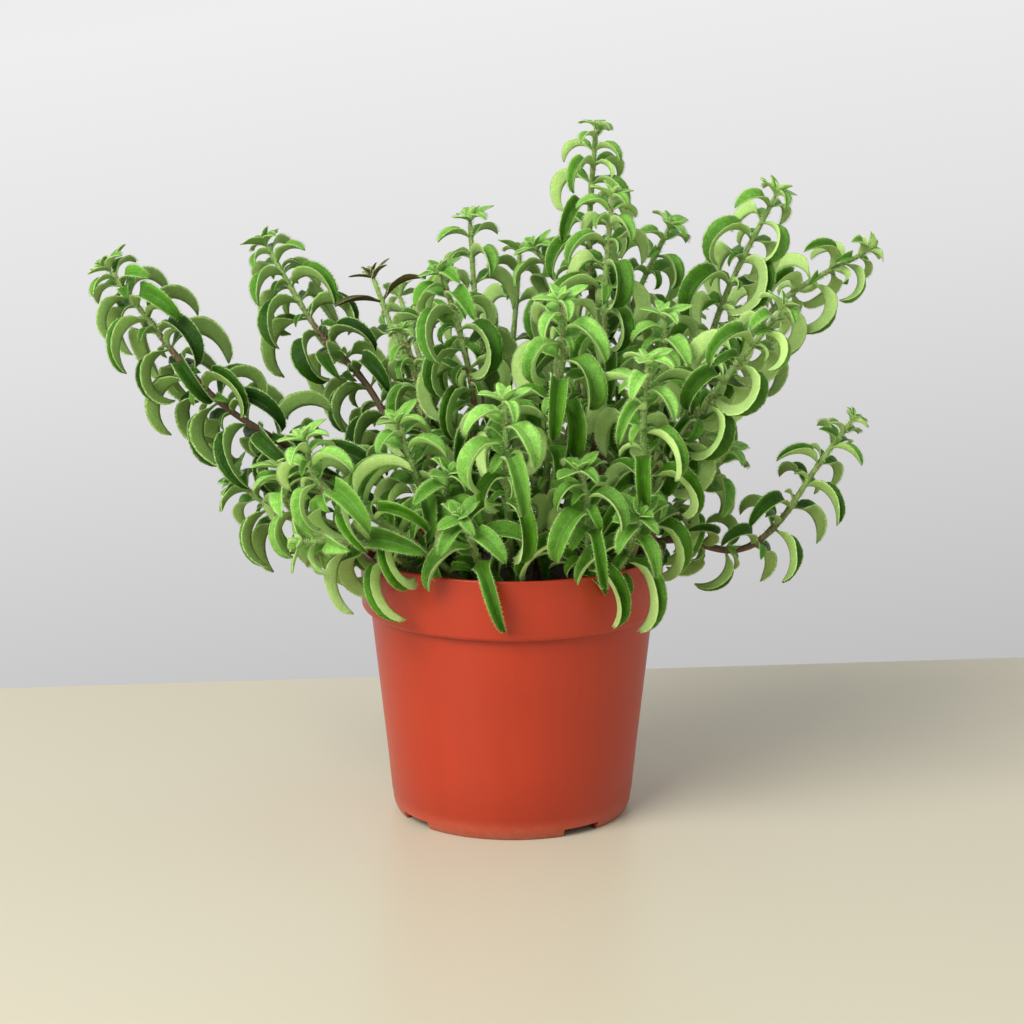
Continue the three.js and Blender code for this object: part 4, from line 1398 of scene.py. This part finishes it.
def hair_blank(hairs_along):
    """Hairs along both margins of a leaf, in the leaf's own across and along. Past 1 or -1
    across, a place counts in hair lengths from the margin."""
    bm = bmesh.new()
    for side in (-1, 1):
        for number in range(hairs_along):
            share = (number + 0.7 * draw(HAIR_PLACE_DRAWS, number, side + 1)) / hairs_along
            v = mixed(0.1, 0.97, share)
            reach = mixed(0.55, 1.0, draw(HAIR_REACH_DRAWS, number, side + 1))
            for vert in add_cone(bm, 1, 2, Matrix.Translation((0, 0, 1))):
                across, along, out = vert.co
                vert.co = (side * (1 + reach * out / 2), v + along * HAIR_BLANK_WIDTH, across)
    surface = bm.loops.layers.uv.new(SURFACE_MAP)
    for face in bm.faces:
        face.smooth = True
        for loop in face.loops:
            loop[surface].uv = (0, abs(loop.vert.co.x) - 1)
    mesh = bpy.data.meshes.new("hair_blank")
    bm.to_mesh(mesh)
    bm.free()
    return mesh


def add_margin_hairs(bm, blank, leaf, margin, length, radius):
    """Sets a leaf's fringe of hairs on its margins."""
    for vert in add_blank(bm, blank):
        x, y, level = vert.co
        side = 1 if x > 0 else -1
        out = (abs(x) - 1) * length * mixed(0.75, 1.2, leaf.youth)
        v = min(max(y, 0.0), 1.0)
        below = leaf_surface(leaf, side, v, True, margin)
        root = below.lerp(leaf_surface(leaf, side, v, False, margin), 0.5)
        _, direction, edge, upper = leaf.at(v)
        place = root + edge * (side * out) + direction * (HAIR_LEAN * out) + upper * (level * radius)
        vert.co = kept_in(in_frame(place))


def add_stem_hairs(bm, index, line, length, radius):
    """Sets short hairs on the young part of a stem."""
    surface = bm.loops.layers.uv[SURFACE_MAP]
    for number in range(STEM_HAIRS):
        place = line.total - STEM_HAIR_REACH * draw(index, number, HAIR_PLACE) ** 1.3
        point, tangent, normal = line.at(place)
        out = outward(tangent, normal, 2 * math.pi * draw(index, number, HAIR_ANGLE))
        root = point + out * (stem_radius(place / line.total) * 0.97)
        lean = (out + tangent * spread(index, number, HAIR_TILT, 0.5)).normalized()
        reach = length * mixed(0.6, 1.1, draw(index, number, HAIR_REACH)) * MM
        turn = lean.to_track_quat("Z", "Y").to_matrix().to_4x4()
        middle = Matrix.Translation(in_frame(root)) @ turn @ Matrix.Translation((0, 0, reach / 2))
        verts = add_cone(bm, radius * MM, reach, middle)
        for vert in verts:
            vert.co = kept_in(vert.co)
        for face in {face for vert in verts for face in vert.link_faces}:
            face.smooth = True
            for loop in face.loops:
                loop[surface].uv = (0, STEM_HAIR_SHADE)


class PLANT_OT_hairs(bpy.types.Operator):
    """Makes the fringe of short hairs on every leaf's margin and on the young stems"""

    bl_idname = "plant.hairs"
    bl_label = "Hairs"

    def execute(self, context):
        sizes = context.scene.plant_sizes
        margin = sizes.margin_thickness / MM
        length = sizes.hair_length / MM
        radius = sizes.hair_radius / MM
        small_margin = margin * SMALL_MARGIN_SHARE
        small_length = length * SMALL_HAIR_SHARE
        material = hair_material(context.scene.plant_colours)
        blank = hair_blank(HAIRS_ALONG)
        small_blank = hair_blank(HAIRS_ALONG_SMALL)
        for index, (line, leaves, small_leaves) in enumerate(PLANTS):
            bm = bmesh.new()
            bm.loops.layers.uv.new(SURFACE_MAP)
            for leaf in leaves:
                add_margin_hairs(bm, blank, leaf, margin, length, radius)
            for leaf in small_leaves:
                add_margin_hairs(bm, small_blank, leaf, small_margin, small_length, radius)
            add_stem_hairs(bm, index, line, length, radius)
            finished(f"hairs_{index + 1:02d}", bm, [material], "foliage")
        return {"FINISHED"}


# The stage, in metres from the pot's axis at the ground
CAMERA_BACK = 1.34
CAMERA_HEIGHT = 0.455
CAMERA_PITCH_DEG = 12.75
CAMERA_LENS_MM = 96.9
CAMERA_SENSOR_MM = 36
TABLE_EDGE_BEHIND = 0.238
TABLE_TURN_DEG = 6.2
TABLE_SIZE = 3.0
TABLE_THICKNESS = 0.03
TABLE_ROUND = 0.002
LIGHT_TARGET = Vector((0, 0, 0.15))

# Each light: name, place, width, watts and colour
LIGHTS = [
    ("key", Vector((-1.28, -1.5, 1.7)), 1.8, 86, (1, 0.985, 0.955)),
    ("fill", Vector((1.2, -1.4, 0.9)), 1.2, 4.5, (0.97, 0.98, 1)),
]

# The room: shares of the wall's colour by height, darker toward the wall's foot and, by the tilt, to
# the right as painted shade, and its light before and behind the plant
ROOM_LEVELS = [(-0.30, 0.60), (-0.14, 0.88), (-0.03, 1.0), (0.12, 0.88), (0.5, 0.74)]
ROOM_TILT = 0.15
ROOM_FRONT = 0.5
ROOM_FRONT_END = -0.7
ROOM_BACK_START = 0.1


def add_light(name, offset, size, power, colour):
    """Adds a round soft light that points at the plant."""
    light = bpy.data.lights.new(name, "AREA")
    light.shape = "DISK"
    light.size = size
    light.energy = power
    light.color = colour
    lamp = bpy.data.objects.new(name, light)
    place = POT_AXIS + offset
    target = POT_AXIS + LIGHT_TARGET
    lamp.location = place
    lamp.rotation_euler = (target - place).to_track_quat("-Z", "Y").to_euler()
    bpy.context.scene.collection.objects.link(lamp)


def pale_room(tree, colours):
    """A plain room: pale walls with painted shade that darkens them toward their foot and to the right,
    a dimmer ceiling, and less light from the side toward which the plant's front looks."""
    nodes = Nodes(tree)
    background = tree.nodes["Background"]
    across, depth, height = nodes.parted(nodes.new("TexCoord").outputs["Generated"])
    # Painted shade: the walls darker to the right, by tilting the height
    tilted = nodes.maths("MULTIPLY_ADD", across, -ROOM_TILT, height)
    ramp = nodes.new("ValToRGB")
    nodes.join(nodes.ranged(tilted, -1, 1, eased=False), ramp.inputs[0])
    stops = ramp.color_ramp.elements
    # The wall's share by height: darker toward its foot as painted shade, dimmer toward the ceiling
    for level, share in ROOM_LEVELS:
        stop = stops.new((level + 1) / 2)
        stop.color = (*(Vector(colours.wall) * share), 1)
    stops.remove(stops[-1])
    stops.remove(stops[0])
    nodes.join(ramp.outputs[0], background.inputs["Color"])
    strength = nodes.ranged(depth, ROOM_FRONT_END, ROOM_BACK_START, ROOM_FRONT, 1, eased=False)
    nodes.join(strength, background.inputs["Strength"])


def table_top(colours):
    """A broad board whose far edge runs a little askew behind the pot."""
    bm = bmesh.new()
    turn = Matrix.Rotation(math.radians(TABLE_TURN_DEG), 4, "Z")
    middle = Vector((0, TABLE_EDGE_BEHIND - TABLE_SIZE / 2, -TABLE_THICKNESS / 2))
    shape = Matrix.Translation(POT_AXIS) @ turn @ Matrix.Translation(middle)
    shape @= Matrix.Diagonal((2 * TABLE_SIZE, TABLE_SIZE, TABLE_THICKNESS, 1))
    bmesh.ops.create_cube(bm, size=1, matrix=shape)
    bmesh.ops.bevel(
        bm, geom=bm.edges, offset=TABLE_ROUND, segments=3, profile=0.5, affect="EDGES", material=-1
    )
    return finished("table_top", bm, [table_material(colours)])


def add_camera(scene):
    camera = bpy.data.cameras.new("camera")
    camera.lens = CAMERA_LENS_MM
    camera.sensor_width = CAMERA_SENSOR_MM
    view = bpy.data.objects.new("camera", camera)
    view.location = POT_AXIS + Vector((0, -CAMERA_BACK, CAMERA_HEIGHT))
    view.rotation_euler = (math.radians(90 - CAMERA_PITCH_DEG), 0, 0)
    scene.collection.objects.link(view)
    scene.camera = view


class PLANT_OT_stage(bpy.types.Operator):
    """Makes the plain pale table, the soft light and the camera"""

    bl_idname = "plant.stage"
    bl_label = "Stage"

    def execute(self, context):
        scene = context.scene
        colours = scene.plant_colours
        table = table_top(colours)
        world = bpy.data.worlds.new("pale_room")
        world.use_nodes = True
        pale_room(world.node_tree, colours)
        scene.world = world
        for light in LIGHTS:
            add_light(*light)
        add_camera(scene)
        scene.view_settings.view_transform = "Standard"
        return {"FINISHED"}


class PLANT_PT_panel(bpy.types.Panel):
    """Lists the plant's sizes, colours and pieces"""

    bl_idname = "PLANT_PT_panel"
    bl_label = "Potted plant"
    bl_space_type = "VIEW_3D"
    bl_region_type = "UI"
    bl_category = "Plant"

    def draw(self, context):
        for group in (context.scene.plant_sizes, context.scene.plant_colours):
            box = self.layout.box()
            for name in group.__annotations__:
                box.prop(group, name)
        for operator in OPERATORS:
            self.layout.operator(operator.bl_idname)


OPERATORS = (PLANT_OT_pot, PLANT_OT_soil, PLANT_OT_shoots, PLANT_OT_hairs, PLANT_OT_stage)
CLASSES = (PlantSizes, PlantColours, *OPERATORS, PLANT_PT_panel)

# Each stem's line, its grown leaves and its small ones
PLANTS = [grow(index) for index in range(len(STEMS))]
for _, grown_leaves, few_small_leaves in PLANTS:
    for each_leaf in grown_leaves + few_small_leaves:
        vary(each_leaf)


def register():
    for each in CLASSES:
        bpy.utils.register_class(each)
    bpy.types.Scene.plant_sizes = bpy.props.PointerProperty(type=PlantSizes)
    bpy.types.Scene.plant_colours = bpy.props.PointerProperty(type=PlantColours)


def unregister():
    del bpy.types.Scene.plant_sizes
    del bpy.types.Scene.plant_colours
    for each in reversed(CLASSES):
        bpy.utils.unregister_class(each)


def main():
    register()
    bpy.ops.plant.pot()
    bpy.ops.plant.soil()
    bpy.ops.plant.shoots()
    bpy.ops.plant.hairs()
    bpy.ops.plant.stage()


if __name__ == "__main__":
    main()
